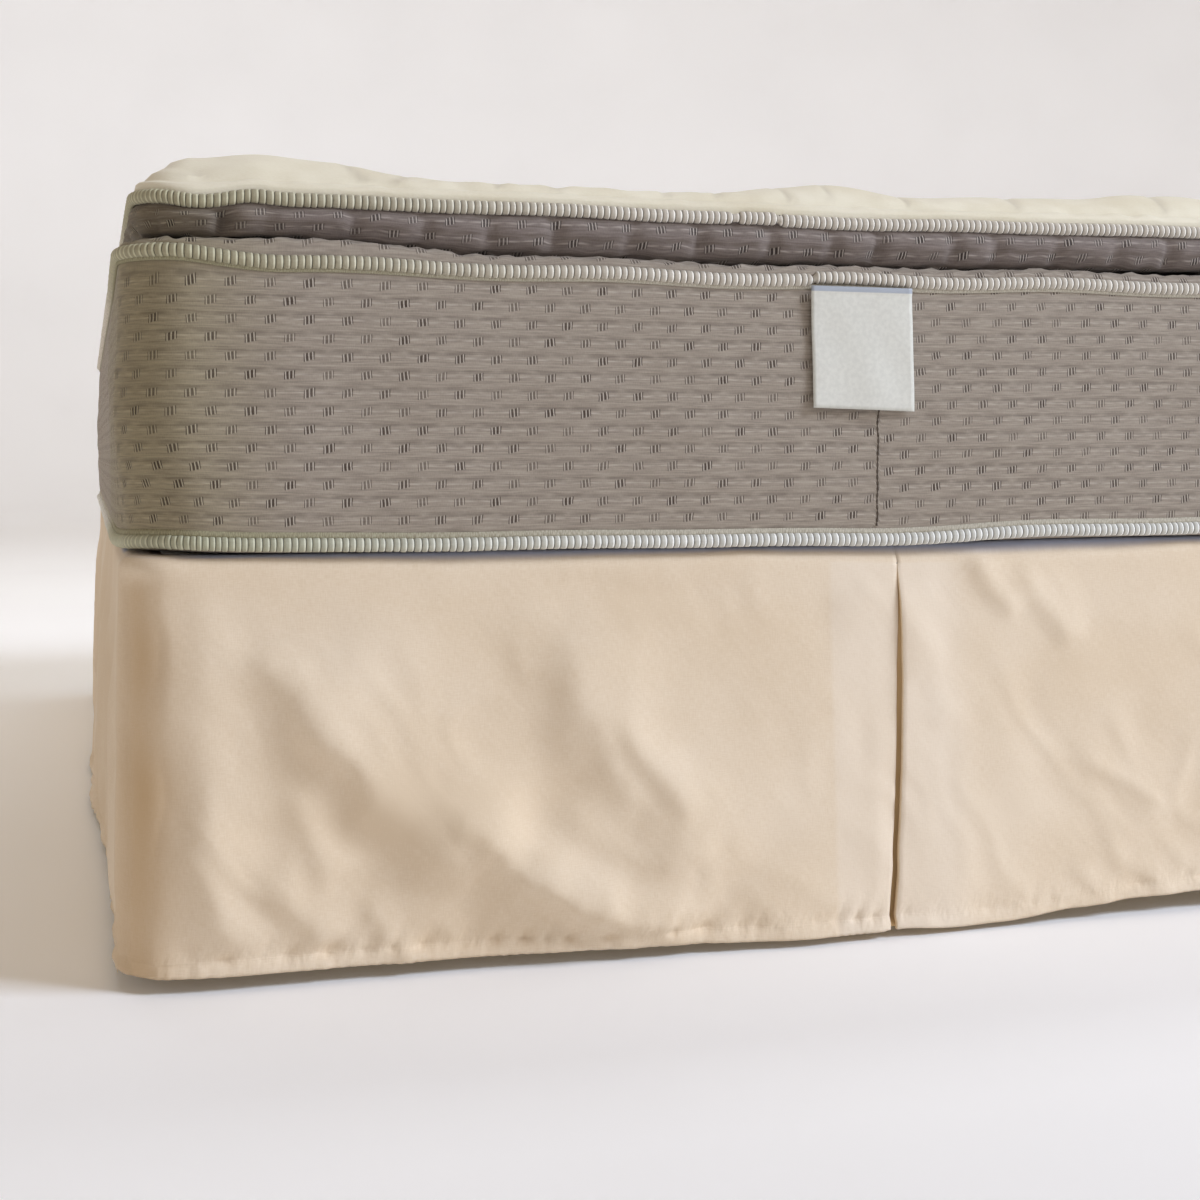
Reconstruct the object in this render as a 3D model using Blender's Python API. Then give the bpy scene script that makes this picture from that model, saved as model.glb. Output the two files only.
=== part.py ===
"""A tailored bed skirt on a plain queen bed.

Frame: metres, +Z up, origin on the floor under the middle of the bed. The foot of the bed faces -Y
and +X is on the right of someone who stands at the foot. The skirt has a deck that lies between
box spring and mattress, and three drops: foot, left and right. Each drop rolls over the edge of
the box spring, hangs to just above the floor and has one inverted pleat at its middle. The head
end has no drop.

Every drop is modelled in its own frame first: u runs along the bed from left to right as seen
from outside, -Y is outwards, z is the height above the floor.
"""
import math
from collections import namedtuple

import bmesh
import bpy

SEAT_GAP = 0.0003            # gap between pieces that rest on each other

# The bed, from the floor up.
LEG_HEIGHT = 0.130
LEG_RADIUS = 0.017
RAIL_HEIGHT = 0.0355
RAIL_WIDTH = 0.040
RAIL_X = 0.690               # middle of a side rail
RAIL_END_Y = 0.940           # middle of the outer cross rails
BOX_TOP = 0.391
BOX_HALF_WIDTH = 0.7465
BOX_HALF_LENGTH = 1.0015
BOX_CORNER = 0.060
BOX_EDGE = 0.014
MATTRESS_HALF_WIDTH = 0.760
MATTRESS_HALF_LENGTH = 1.015
MATTRESS_CORNER = 0.070
PAD_SETBACK = 0.008          # the pillow top stands back from the border below it

# The skirt.
CLOTH = 0.0013
DROP_STANDOFF = 0.008        # middle of the cloth to the face of the box spring
DROP_PLANE_X = BOX_HALF_WIDTH + DROP_STANDOFF
DROP_PLANE_Y = BOX_HALF_LENGTH + DROP_STANDOFF
ROLL = 0.012                 # radius over the edge of the box spring
RETURN_DEPTH = 0.025         # strip that lies under the mattress
DECK_LEVEL = BOX_TOP + SEAT_GAP + CLOTH / 2
DROP_TOP = DECK_LEVEL - ROLL
HEM_HEIGHT = 0.013
SKIRT_CORNER = 0.045         # radius in plan at the foot corners
CORNER_LIP = 0.004           # straight end of the foot drop past the corner
CORNER_SPLIT = 0.003         # slit between the foot drop and a side drop
HEAD_END = 1.0
CORNER_TUCK = 0.007          # the cloth sinks in at the foot corners
CORNER_CURL = 0.0035         # and its hemmed end curls out again
NEAREST = 0.003 - DROP_STANDOFF   # the cloth never hangs nearer to the box spring than 3 mm

# How finely a drop is divided.
FOOT_SPACING, FOOT_ROWS = 0.0265, 11
SIDE_SPACING, SIDE_ROWS = 0.048, 8
CORNER_STEPS = 6
ROLL_STEPS = 3

# The inverted pleat.
PLEAT_DEPTH = 0.0705         # from the slit to the fold behind it
LAYER_STEP = 0.003           # from the middle of one layer to the next
TURN = LAYER_STEP / 2        # radius of a fold
PLEAT_SWELL_TOP = 0.002      # the layers push the face out, a little at the top
PLEAT_SWELL = 0.006          # and more below
SWELL_RAMP = 0.045
SWELL_EDGE = 0.012

# Tape edges of the mattress.
TAPE_HEIGHT = 0.013
TAPE_PROUD = 0.006

Level = namedtuple("Level", "inset z")
Fold = namedtuple("Fold", "start middle end rise left right")
HemPoint = namedtuple("HemPoint", "u flare height")
SlitPoint = namedtuple("SlitPoint", "z left right")
Column = namedtuple("Column", "side reach depth")
Row = namedtuple("Row", "inset lift down hold")
Drop = namedtuple("Drop", "name straight corner folds hem slit columns rows")

CORE_BOTTOM = BOX_TOP + 2 * SEAT_GAP + CLOTH
CORE_TOP = 0.6715
CORE_LEVELS = (
    Level(0.016, CORE_BOTTOM), Level(0.004, 0.3950), Level(0.004, 0.4085), Level(0.0012, 0.450),
    Level(0.000, 0.530), Level(0.0012, 0.610), Level(0.004, 0.6505), Level(0.004, 0.6640),
    Level(0.009, 0.6690), Level(0.020, 0.6710), Level(0.045, CORE_TOP),
)
PAD_LEVELS = (
    Level(0.036, CORE_TOP + SEAT_GAP), Level(0.017, 0.6735), Level(0.009, 0.678),
    Level(0.005, 0.689), Level(0.005, 0.698), Level(0.008, 0.7085), Level(0.010, 0.7105),
    Level(0.010, 0.7245), Level(0.016, 0.733), Level(0.030, 0.742), Level(0.055, 0.749),
    Level(0.100, 0.753), Level(0.170, 0.755), Level(0.270, 0.756), Level(0.400, 0.756),
    Level(0.560, 0.756),
)
CROWN_START = PAD_LEVELS[7]  # from this level inwards the pad is quilted into soft lumps
LUMP = 0.009
LUMP_PITCH_X = 0.490
LUMP_PITCH_Y = 0.520
LUMP_PHASE_X = 0.060
LUMP_FADE = 0.060            # inset over which the lumps reach their full height
LUMP_END = 0.160             # and over which they run out again at the middle

TAPES = {"tape_bottom": (0.004, 0.4018), "tape_middle": (0.004, 0.6573),
         "tape_top": (0.010 + PAD_SETBACK, 0.7175)}
LABEL_LEFT, LABEL_RIGHT = -0.095, 0.016
LABEL_THICKNESS = 0.001
LABEL_LEVELS = CORE_LEVELS[4:7]

# Folds are soft crests in the cloth: three points (u, z) from the upper end to the lower end, how
# far the crest stands out, and how far it spreads to its left and to its right.
FOOT_FOLDS = (
    Fold((-0.704, 0.360), (-0.706, 0.200), (-0.704, 0.020), 0.0060, 0.016, 0.080),
    Fold((-0.715, 0.205), (-0.652, 0.125), (-0.602, 0.080), 0.0030, 0.010, 0.050),
    Fold((-0.598, 0.322), (-0.515, 0.150), (-0.400, 0.028), 0.0075, 0.030, 0.030),
    Fold((-0.512, 0.336), (-0.437, 0.150), (-0.262, 0.016), 0.0085, 0.022, 0.058),
    Fold((-0.362, 0.320), (-0.325, 0.195), (-0.262, 0.122), 0.0045, 0.020, 0.024),
    Fold((-0.302, 0.264), (-0.255, 0.190), (-0.205, 0.132), 0.0045, 0.014, 0.032),
    Fold((-0.655, 0.100), (-0.640, 0.052), (-0.628, 0.010), 0.0040, 0.012, 0.015),
    Fold((-0.618, 0.096), (-0.600, 0.055), (-0.578, 0.010), 0.0040, 0.012, 0.040),
    Fold((-0.520, 0.086), (-0.492, 0.050), (-0.462, 0.010), 0.0030, 0.012, 0.020),
    Fold((-0.340, 0.353), (-0.230, 0.350), (-0.110, 0.356), -0.0020, 0.018, 0.014),
    Fold((0.085, 0.385), (0.128, 0.335), (0.186, 0.270), 0.0040, 0.012, 0.013),
    Fold((0.176, 0.383), (0.206, 0.343), (0.237, 0.295), 0.0030, 0.014, 0.014),
    Fold((0.205, 0.181), (0.262, 0.138), (0.346, 0.090), 0.0040, 0.020, 0.015),
    Fold((0.300, 0.114), (0.258, 0.088), (0.205, 0.055), 0.0025, 0.011, 0.013),
    Fold((0.246, 0.078), (0.285, 0.050), (0.318, 0.012), 0.0030, 0.012, 0.014),
    Fold((0.560, 0.340), (0.500, 0.190), (0.395, 0.040), 0.0065, 0.050, 0.028),
    Fold((0.655, 0.330), (0.612, 0.180), (0.530, 0.030), 0.0055, 0.040, 0.026),
    Fold((0.704, 0.360), (0.706, 0.200), (0.704, 0.020), 0.0060, 0.070, 0.016),
)
SIDE_FOLDS = (
    Fold((-0.930, 0.345), (-0.865, 0.190), (-0.740, 0.030), 0.0060, 0.036, 0.060),
    Fold((-0.700, 0.335), (-0.660, 0.205), (-0.575, 0.085), 0.0050, 0.034, 0.044),
    Fold((-0.520, 0.350), (-0.435, 0.200), (-0.290, 0.035), 0.0070, 0.036, 0.062),
    Fold((-0.300, 0.305), (-0.255, 0.215), (-0.180, 0.120), 0.0040, 0.034, 0.044),
    Fold((0.150, 0.372), (0.230, 0.285), (0.330, 0.190), 0.0045, 0.034, 0.040),
    Fold((0.330, 0.335), (0.425, 0.170), (0.560, 0.030), 0.0070, 0.040, 0.060),
    Fold((0.620, 0.345), (0.665, 0.205), (0.745, 0.055), 0.0055, 0.036, 0.052),
    Fold((0.800, 0.310), (0.850, 0.165), (0.905, 0.030), 0.0050, 0.036, 0.048),
)
FOOT_HEM = (
    HemPoint(-0.790, 0.000, 0.0145), HemPoint(-0.600, 0.000, 0.0135), HemPoint(-0.450, 0.001, 0.0130),
    HemPoint(-0.300, 0.006, 0.0120), HemPoint(-0.100, 0.026, 0.0085), HemPoint(-0.030, 0.024, 0.0085),
    HemPoint(0.000, 0.015, 0.0090), HemPoint(0.060, 0.027, 0.0075), HemPoint(0.110, 0.024, 0.0080),
    HemPoint(0.200, 0.008, 0.0115), HemPoint(0.280, -0.002, 0.0140), HemPoint(0.400, -0.004, 0.0160),
    HemPoint(0.600, 0.002, 0.0140), HemPoint(0.790, 0.000, 0.0145),
)
SIDE_HEM = (
    HemPoint(-1.000, 0.000, 0.0135), HemPoint(-0.600, 0.001, 0.0130), HemPoint(-0.380, 0.007, 0.0120),
    HemPoint(-0.120, 0.020, 0.0090), HemPoint(0.000, 0.013, 0.0095), HemPoint(0.120, 0.020, 0.0085),
    HemPoint(0.380, 0.007, 0.0120), HemPoint(0.600, 0.000, 0.0135), HemPoint(1.000, 0.000, 0.0140),
)
FLARE_POWER = 1.3
FADE_IN, FADE_OUT = 0.30, 0.15    # shares of a crest's length over which it rises and runs out
# Left and right edge of the slit, measured from the middle of the drop.
FOOT_SLIT = (
    SlitPoint(0.000, -0.0130, -0.0010), SlitPoint(0.073, -0.0105, 0.0010), SlitPoint(0.134, -0.0060, 0.0025),
    SlitPoint(0.184, -0.0025, 0.0040), SlitPoint(0.235, 0.0000, 0.0055), SlitPoint(0.336, 0.0025, 0.0060),
    SlitPoint(DROP_TOP, 0.0005, 0.0025),
)
SIDE_SLIT = (
    SlitPoint(0.000, -0.0060, 0.0050), SlitPoint(0.200, -0.0030, 0.0030),
    SlitPoint(DROP_TOP, -0.0010, 0.0010),
)

COLOURS = {
    "skirt": (0.80, 0.72, 0.61), "deck": (0.78, 0.76, 0.72), "border": (0.45, 0.40, 0.35),
    "quilt": (0.86, 0.84, 0.78), "tape": (0.55, 0.53, 0.47), "label": (0.84, 0.84, 0.80),
    "ticking": (0.62, 0.60, 0.56), "steel": (0.10, 0.10, 0.11),
}


def clear_scene():
    """Remove every object, so that the file holds this model alone."""
    for obj in list(bpy.data.objects):
        bpy.data.objects.remove(obj, do_unlink=True)


def material(colour_name, roughness=0.85, metallic=0.0):
    """A Principled material in one of the named colours."""
    made = bpy.data.materials.new(colour_name)
    made.use_nodes = True
    shader = made.node_tree.nodes["Principled BSDF"]
    shader.inputs["Base Color"].default_value = (*COLOURS[colour_name], 1.0)
    shader.inputs["Roughness"].default_value = roughness
    shader.inputs["Metallic"].default_value = metallic
    return made


def add_object(name, bm, finish):
    """Turn a bmesh into a named object with one material."""
    mesh = bpy.data.meshes.new(name)
    bm.to_mesh(mesh)
    bm.free()
    mesh.materials.append(finish)
    obj = bpy.data.objects.new(name, mesh)
    bpy.context.scene.collection.objects.link(obj)
    return obj


def smooth_step(value):
    """Ease from 0 to 1 as value goes from 0 to 1."""
    value = min(max(value, 0.0), 1.0)
    return value * value * (3.0 - 2.0 * value)


def read_table(table, key, field, at):
    """Read one column of a table at a place between its rows, easing from row to row."""
    if at <= getattr(table[0], key):
        return getattr(table[0], field)
    for low, high in zip(table, table[1:]):
        if at <= getattr(high, key):
            share = (at - getattr(low, key)) / (getattr(high, key) - getattr(low, key))
            first, last = getattr(low, field), getattr(high, field)
            return first + (last - first) * smooth_step(share)
    return getattr(table[-1], field)


# ---------------------------------------------------------------- lofted blocks and tapes

def rounded_outline(half_x, half_y, radius, corner_steps=5, spacing=0.170):
    """Points of a rounded rectangle, anticlockwise from above."""
    def run(start, end):
        count = max(1, round(math.dist(start, end) / spacing))
        return [(start[0] + (end[0] - start[0]) * k / count, start[1] + (end[1] - start[1]) * k / count)
                for k in range(1, count)]

    corners = []
    for quarter, (sx, sy) in enumerate(((1, 1), (-1, 1), (-1, -1), (1, -1))):
        centre = (sx * (half_x - radius), sy * (half_y - radius))
        angles = [math.radians(90 * (quarter + k / corner_steps)) for k in range(corner_steps + 1)]
        corners.append([(centre[0] + radius * math.cos(a), centre[1] + radius * math.sin(a)) for a in angles])
    outline = []
    for quarter, corner in enumerate(corners):
        outline += corner + run(corner[-1], corners[(quarter + 1) % 4][0])
    return outline


def inset_point(point, half_x, half_y, radius, inset):
    """Move a point of a rounded outline inwards, square to the outline."""
    core_x, core_y = half_x - radius, half_y - radius
    near = (min(max(point[0], -core_x), core_x), min(max(point[1], -core_y), core_y))
    out = (point[0] - near[0], point[1] - near[1])
    length = math.hypot(*out)
    if inset <= radius:
        scale = (length - inset) / length
        return near[0] + out[0] * scale, near[1] + out[1] * scale
    shrink_x, shrink_y = (core_x - (inset - radius)) / core_x, (core_y - (inset - radius)) / core_y
    return near[0] * shrink_x, near[1] * shrink_y


def loft(name, rings, finish, closed=False):
    """Join rings of equal length; cap both ends, or close the last ring onto the first."""
    bm = bmesh.new()
    grid = [[bm.verts.new(point) for point in ring] for ring in rings]
    pairs = list(zip(grid, grid[1:])) + ([(grid[-1], grid[0])] if closed else [])
    count = len(grid[0])
    for lower, upper in pairs:
        for k in range(count):
            after = (k + 1) % count
            bm.faces.new((lower[k], lower[after], upper[after], upper[k]))
    if not closed:
        bm.faces.new(list(reversed(grid[0])))
        bm.faces.new(grid[-1])
    bmesh.ops.recalc_face_normals(bm, faces=bm.faces[:])
    return add_object(name, bm, finish)


def block_rings(half_x, half_y, radius, levels, height_of=lambda x, y, level: level.z):
    """Rings of a rounded block, one for each level of its profile."""
    outline = rounded_outline(half_x, half_y, radius)
    rings = []
    for level in levels:
        spots = [inset_point(point, half_x, half_y, radius, level.inset) for point in outline]
        rings.append([(x, y, height_of(x, y, level)) for x, y in spots])
    return rings


def crown_height(x, y, level):
    """Height of the pad: above its tape the crown is quilted into soft lumps."""
    if level.z <= CROWN_START.z:
        return level.z
    share = smooth_step((level.inset - PAD_SETBACK - CROWN_START.inset) / LUMP_FADE)
    share *= smooth_step((PAD_LEVELS[-1].inset + PAD_SETBACK - level.inset) / LUMP_END)
    wave = math.cos(math.tau * (x + LUMP_PHASE_X) / LUMP_PITCH_X) * math.cos(math.tau * y / LUMP_PITCH_Y)
    return level.z + share * LUMP * wave


def build_box_spring():
    """The upholstered box that carries the mattress."""
    bottom = LEG_HEIGHT + RAIL_HEIGHT + 2 * SEAT_GAP
    steps = [math.radians(angle) for angle in (0, 30, 60, 90)]
    levels = [Level(0.003, bottom), Level(0.0, bottom + 0.003)]
    levels += [Level(BOX_EDGE * (1 - math.cos(a)), BOX_TOP - BOX_EDGE * (1 - math.sin(a))) for a in steps]
    rings = block_rings(BOX_HALF_WIDTH, BOX_HALF_LENGTH, BOX_CORNER, levels)
    loft("box_spring", rings, material("ticking"))


def build_mattress():
    """The mattress core, the pillow top sewn on it, the tape edges and the blank label."""
    size = (MATTRESS_HALF_WIDTH, MATTRESS_HALF_LENGTH, MATTRESS_CORNER)
    loft("mattress_core", block_rings(*size, CORE_LEVELS), material("border"))
    pad_levels = [Level(level.inset + PAD_SETBACK, level.z) for level in PAD_LEVELS]
    loft("pillow_top", block_rings(*size, pad_levels, crown_height), material("quilt"))
    for name, (seat_inset, height) in TAPES.items():
        build_tape(name, seat_inset, height)
    build_label()


def build_tape(name, seat_inset, height):
    """A round-faced tape sewn round the mattress, seated on the border."""
    half = TAPE_HEIGHT / 2
    section = [(0.0, -half), (TAPE_PROUD * 0.7, -half * 0.75), (TAPE_PROUD, 0.0),
               (TAPE_PROUD * 0.7, half * 0.75), (0.0, half)]
    levels = [Level(seat_inset - SEAT_GAP - out, height + up) for out, up in section]
    rings = block_rings(MATTRESS_HALF_WIDTH, MATTRESS_HALF_LENGTH, MATTRESS_CORNER, levels)
    loft(name, rings, material("tape"), closed=True)


def build_label():
    """A blank sewn-in label that hangs from the middle tape over the border."""
    section = []
    for layer in (SEAT_GAP, SEAT_GAP + LABEL_THICKNESS):
        rows = [(-(MATTRESS_HALF_LENGTH - level.inset + layer), level.z) for level in LABEL_LEVELS]
        section += rows if layer == SEAT_GAP else rows[::-1]
    rings = [[(x, y, z) for y, z in section] for x in (LABEL_LEFT, LABEL_RIGHT)]
    loft("mattress_label", rings, material("label"))


def build_base():
    """Side rails and cross rails on round legs, under the box spring."""
    finish = material("steel", roughness=0.45, metallic=0.8)
    rail_z = LEG_HEIGHT + SEAT_GAP + RAIL_HEIGHT / 2
    side_length = 2 * RAIL_END_Y + RAIL_WIDTH
    cross_length = 2 * RAIL_X - RAIL_WIDTH - 2 * SEAT_GAP
    for name, x in (("rail_left", -RAIL_X), ("rail_right", RAIL_X)):
        add_box(name, (x, 0.0, rail_z), (RAIL_WIDTH, side_length, RAIL_HEIGHT), finish)
    for name, y in (("rail_foot", -RAIL_END_Y), ("rail_centre", 0.0), ("rail_head", RAIL_END_Y)):
        add_box(name, (0.0, y, rail_z), (cross_length, RAIL_WIDTH, RAIL_HEIGHT), finish)
    legs = {"leg_foot_left": (-RAIL_X, -RAIL_END_Y), "leg_foot_right": (RAIL_X, -RAIL_END_Y),
            "leg_centre": (0.0, 0.0),
            "leg_head_left": (-RAIL_X, RAIL_END_Y), "leg_head_right": (RAIL_X, RAIL_END_Y)}
    for name, (x, y) in legs.items():
        bm = bmesh.new()
        bmesh.ops.create_cone(bm, cap_ends=True, segments=16, radius1=LEG_RADIUS,
                              radius2=LEG_RADIUS, depth=LEG_HEIGHT)
        leg = add_object(name, bm, finish)
        leg.location = (x, y, LEG_HEIGHT / 2)


def add_box(name, centre, size, finish):
    """A plain bar."""
    bm = bmesh.new()
    bmesh.ops.create_cube(bm, size=1.0)
    bmesh.ops.scale(bm, vec=size, verts=bm.verts)
    bar = add_object(name, bm, finish)
    bar.location = centre


# ---------------------------------------------------------------- the hanging cloth

def fold_line(fold, steps=8):
    """Points of the smooth line through the three points of a fold."""
    points = []
    for k in range(steps + 1):
        t = k / steps
        weights = ((1 - t) * (1 - 2 * t), 4 * t * (1 - t), t * (2 * t - 1))
        points.append(tuple(sum(w * p[axis] for w, p in zip(weights, (fold.start, fold.middle, fold.end)))
                            for axis in (0, 1)))
    return points


def fold_rise(fold, line, u, z):
    """How far one crest lifts the cloth at (u, z)."""
    best = None
    count = len(line) - 1
    for k, (a, b) in enumerate(zip(line, line[1:])):
        du, dz = b[0] - a[0], b[1] - a[1]
        share = ((u - a[0]) * du + (z - a[1]) * dz) / (du * du + dz * dz)
        held = min(max(share, 0.0), 1.0)
        off_u, off_z = u - a[0] - du * held, z - a[1] - dz * held
        distance = math.hypot(off_u, off_z)
        if best is None or distance < best[0]:
            on_left = off_u * dz - off_z * du > 0
            best = (distance, on_left, (k + held) / count)
    distance, on_left, along = best
    spread = fold.left if on_left else fold.right
    ends = smooth_step(along / FADE_IN) * smooth_step((1 - along) / FADE_OUT)
    return fold.rise * math.exp(-(distance / spread) ** 2) * ends


def cloth_rise(drop, lines, u, z):
    """How far the cloth of a drop stands out from its plane at (u, z)."""
    fall = min(max((DROP_TOP - z) / (DROP_TOP - HEM_HEIGHT), 0.0), 1.0)
    rise = read_table(drop.hem, "u", "flare", u) * fall ** FLARE_POWER
    swell = PLEAT_SWELL_TOP + (PLEAT_SWELL - PLEAT_SWELL_TOP) * smooth_step((DROP_TOP - z) / SWELL_RAMP)
    rise += swell * smooth_step((PLEAT_DEPTH - abs(u)) / SWELL_EDGE + 0.5)
    rise += sum(fold_rise(fold, line, u, z) for fold, line in zip(drop.folds, lines))
    if drop.corner:
        rise += corner_rise(drop, abs(u))
    return max(rise, NEAREST)


def corner_rise(drop, u):
    """The tuck and the curled end where the foot drop turns a corner."""
    turned = u - drop.straight
    tuck = math.exp(-((turned - 0.030) / 0.015) ** 2)
    end = drop.corner * math.pi / 2 + CORNER_LIP
    curl = smooth_step((turned - end) / 0.014 + 1.0)
    return CORNER_CURL * curl - CORNER_TUCK * tuck


def plan_spot(drop, u, out):
    """Place in plan of a point at u along the drop and out from its plane."""
    side = math.copysign(1.0, u)
    turned = abs(u) - drop.straight
    if not drop.corner or turned <= 0:
        return u, -out
    angle = min(turned / drop.corner, math.pi / 2)
    past = max(turned - drop.corner * math.pi / 2, 0.0)
    radius = drop.corner + out
    return side * (drop.straight + radius * math.sin(angle)), drop.corner - radius * math.cos(angle) + past


def face_reaches(straight, corner, spacing):
    """Places of the columns of one half of the face, from the slit outwards."""
    beside_pleat = PLEAT_DEPTH + SWELL_EDGE / 2
    count = round((straight - beside_pleat) / spacing)
    reaches = [TURN, PLEAT_DEPTH * 0.45, PLEAT_DEPTH - SWELL_EDGE / 2]
    reaches += [beside_pleat + (straight - beside_pleat) * k / count for k in range(count + 1)]
    if corner:
        arc = corner * math.pi / 2
        reaches += [straight + arc * k / CORNER_STEPS for k in range(1, CORNER_STEPS + 1)]
        reaches.append(straight + arc + CORNER_LIP)
    return reaches


def drop_columns(straight, corner, spacing):
    """All columns of a drop from left to right, through the folds of the pleat."""
    behind = [(0.0, TURN), (TURN, LAYER_STEP), (PLEAT_DEPTH * 0.5, LAYER_STEP),
              (PLEAT_DEPTH - TURN, LAYER_STEP), (PLEAT_DEPTH, LAYER_STEP + TURN),
              (PLEAT_DEPTH - TURN, 2 * LAYER_STEP), (PLEAT_DEPTH * 0.45, 2 * LAYER_STEP)]
    half = [(reach, 0.0) for reach in reversed(face_reaches(straight, corner, spacing))] + behind
    left = [Column(-1, reach, depth) for reach, depth in half]
    return left + [Column(1, reach, depth) for reach, depth in reversed(half)]


def drop_rows(hang_steps):
    """Rows from the inner edge of the return, over the roll and down to the hem."""
    rows = [Row(ROLL + RETURN_DEPTH, ROLL, 0.0, 0.0)]
    for k in range(ROLL_STEPS):
        angle = math.pi / 2 * (1 - k / ROLL_STEPS)
        rows.append(Row(ROLL * (1 - math.cos(angle)), ROLL * math.sin(angle), 0.0, k / ROLL_STEPS))
    return rows + [Row(0.0, 0.0, k / hang_steps, 1.0) for k in range(hang_steps + 1)]


def cloth_point(drop, lines, column, row):
    """Where one grid point of a drop hangs, in the drop's own frame."""
    edge_z = DROP_TOP + (HEM_HEIGHT - DROP_TOP) * row.down
    edge = read_table(drop.slit, "z", "left" if column.side < 0 else "right", edge_z)
    u = column.side * column.reach + edge * max(0.0, 1 - column.reach / PLEAT_DEPTH)
    z = DROP_TOP + (read_table(drop.hem, "u", "height", u) - DROP_TOP) * row.down
    out = cloth_rise(drop, lines, u, z) * row.hold - row.inset - column.depth
    x, y = plan_spot(drop, u, out)
    return x, y, z + row.lift


def build_drop(drop, location, turn, finish):
    """One hanging drop as a sheet of even thickness. Its pleat's layers begin below the roll."""
    lines = [fold_line(fold) for fold in drop.folds]
    hidden_rows = sum(row.hold < 1 for row in drop.rows)
    bm = bmesh.new()
    grid = []
    for column in drop.columns:
        skipped = hidden_rows if column.depth else 0
        spots = [cloth_point(drop, lines, column, row) for row in drop.rows[skipped:]]
        grid.append([None] * skipped + [bm.verts.new(spot) for spot in spots])
    for left, right in zip(grid, grid[1:]):
        for k in range(len(drop.rows) - 1):
            corners = (left[k], left[k + 1], right[k + 1], right[k])
            if None not in corners:
                bm.faces.new(corners)
    bmesh.ops.triangulate(bm, faces=bm.faces[:])
    obj = add_object(drop.name, bm, finish)
    thicken = obj.modifiers.new("cloth", "SOLIDIFY")
    thicken.thickness = CLOTH
    thicken.offset = 0.0
    obj.location = location
    obj.rotation_euler = (0.0, 0.0, turn)


def mirrored(fold):
    """The same crest seen in a mirror, with the u axis turned round."""
    def flip(point):
        return -point[0], point[1]
    return Fold(flip(fold.start), flip(fold.middle), flip(fold.end), fold.rise, fold.right, fold.left)


def build_skirt():
    """The deck and the three drops."""
    finish = material("skirt", roughness=0.9)
    straight = DROP_PLANE_X - SKIRT_CORNER
    foot = Drop("skirt_foot", straight, SKIRT_CORNER, FOOT_FOLDS, FOOT_HEM, FOOT_SLIT,
                drop_columns(straight, SKIRT_CORNER, FOOT_SPACING), drop_rows(FOOT_ROWS))
    build_drop(foot, (0.0, -DROP_PLANE_Y, 0.0), 0.0, finish)

    foot_end = -DROP_PLANE_Y + SKIRT_CORNER + CORNER_LIP + CORNER_SPLIT
    half, middle = (HEAD_END - foot_end) / 2, (HEAD_END + foot_end) / 2
    columns, rows = drop_columns(half, 0.0, SIDE_SPACING), drop_rows(SIDE_ROWS)
    left = Drop("skirt_left", half, 0.0, SIDE_FOLDS, SIDE_HEM, SIDE_SLIT, columns, rows)
    build_drop(left, (-DROP_PLANE_X, middle, 0.0), -math.pi / 2, finish)
    folds = tuple(mirrored(fold) for fold in SIDE_FOLDS)
    right = Drop("skirt_right", half, 0.0, folds, SIDE_HEM, SIDE_SLIT, columns, rows)
    build_drop(right, (DROP_PLANE_X, middle, 0.0), math.pi / 2, finish)
    build_deck()


def build_deck():
    """The flat deck on the box spring, inside the returns of the drops."""
    reach = ROLL + RETURN_DEPTH + SEAT_GAP
    half_x, foot_y = DROP_PLANE_X - reach, -(DROP_PLANE_Y - reach)
    corner = SKIRT_CORNER - reach
    outline = [(half_x, HEAD_END), (-half_x, HEAD_END)]
    for first_angle, cx in ((180, corner - half_x), (270, half_x - corner)):
        angles = [math.radians(first_angle + 30 * k) for k in range(4)]
        outline += [(cx + corner * math.cos(a), foot_y + corner * (1 + math.sin(a))) for a in angles]
    heights = (DECK_LEVEL - CLOTH / 2, DECK_LEVEL + CLOTH / 2)
    loft("skirt_deck", [[(x, y, z) for x, y in outline] for z in heights], material("deck"))


def main():
    clear_scene()
    build_base()
    build_box_spring()
    build_mattress()
    build_skirt()


main()
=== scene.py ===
"""Looks of a tailored bed skirt on a plain queen bed.

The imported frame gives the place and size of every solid. This script dresses it: the skirt's three
drops and its deck as thin cloth with their folds, pleats and hems, the mattress with its woven
border, ribbed binding and quilted pillow top, the box spring, and the steel base.

Frame: metres, +Z up, the foot of the bed faces -Y and +X is on the right of someone at the foot.
"""

import logging
import math
from dataclasses import dataclass, field
from enum import Enum

import bmesh
import bpy
import numpy as np
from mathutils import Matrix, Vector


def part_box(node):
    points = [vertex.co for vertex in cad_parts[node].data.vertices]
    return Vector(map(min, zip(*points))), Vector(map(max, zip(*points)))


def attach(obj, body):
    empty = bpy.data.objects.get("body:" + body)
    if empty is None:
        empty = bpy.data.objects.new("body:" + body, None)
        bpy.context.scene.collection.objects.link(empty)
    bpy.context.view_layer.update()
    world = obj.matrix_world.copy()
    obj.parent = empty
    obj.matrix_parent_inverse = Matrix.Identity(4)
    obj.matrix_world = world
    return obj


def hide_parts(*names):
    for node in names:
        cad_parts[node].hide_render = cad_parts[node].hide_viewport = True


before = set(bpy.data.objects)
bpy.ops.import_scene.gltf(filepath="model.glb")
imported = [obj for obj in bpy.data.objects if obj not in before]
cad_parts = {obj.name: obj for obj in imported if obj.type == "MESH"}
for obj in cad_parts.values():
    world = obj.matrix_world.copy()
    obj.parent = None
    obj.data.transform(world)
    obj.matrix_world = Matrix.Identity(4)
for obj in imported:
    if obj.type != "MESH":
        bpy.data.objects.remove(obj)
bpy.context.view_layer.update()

log = logging.getLogger("bed_skirt")

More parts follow.
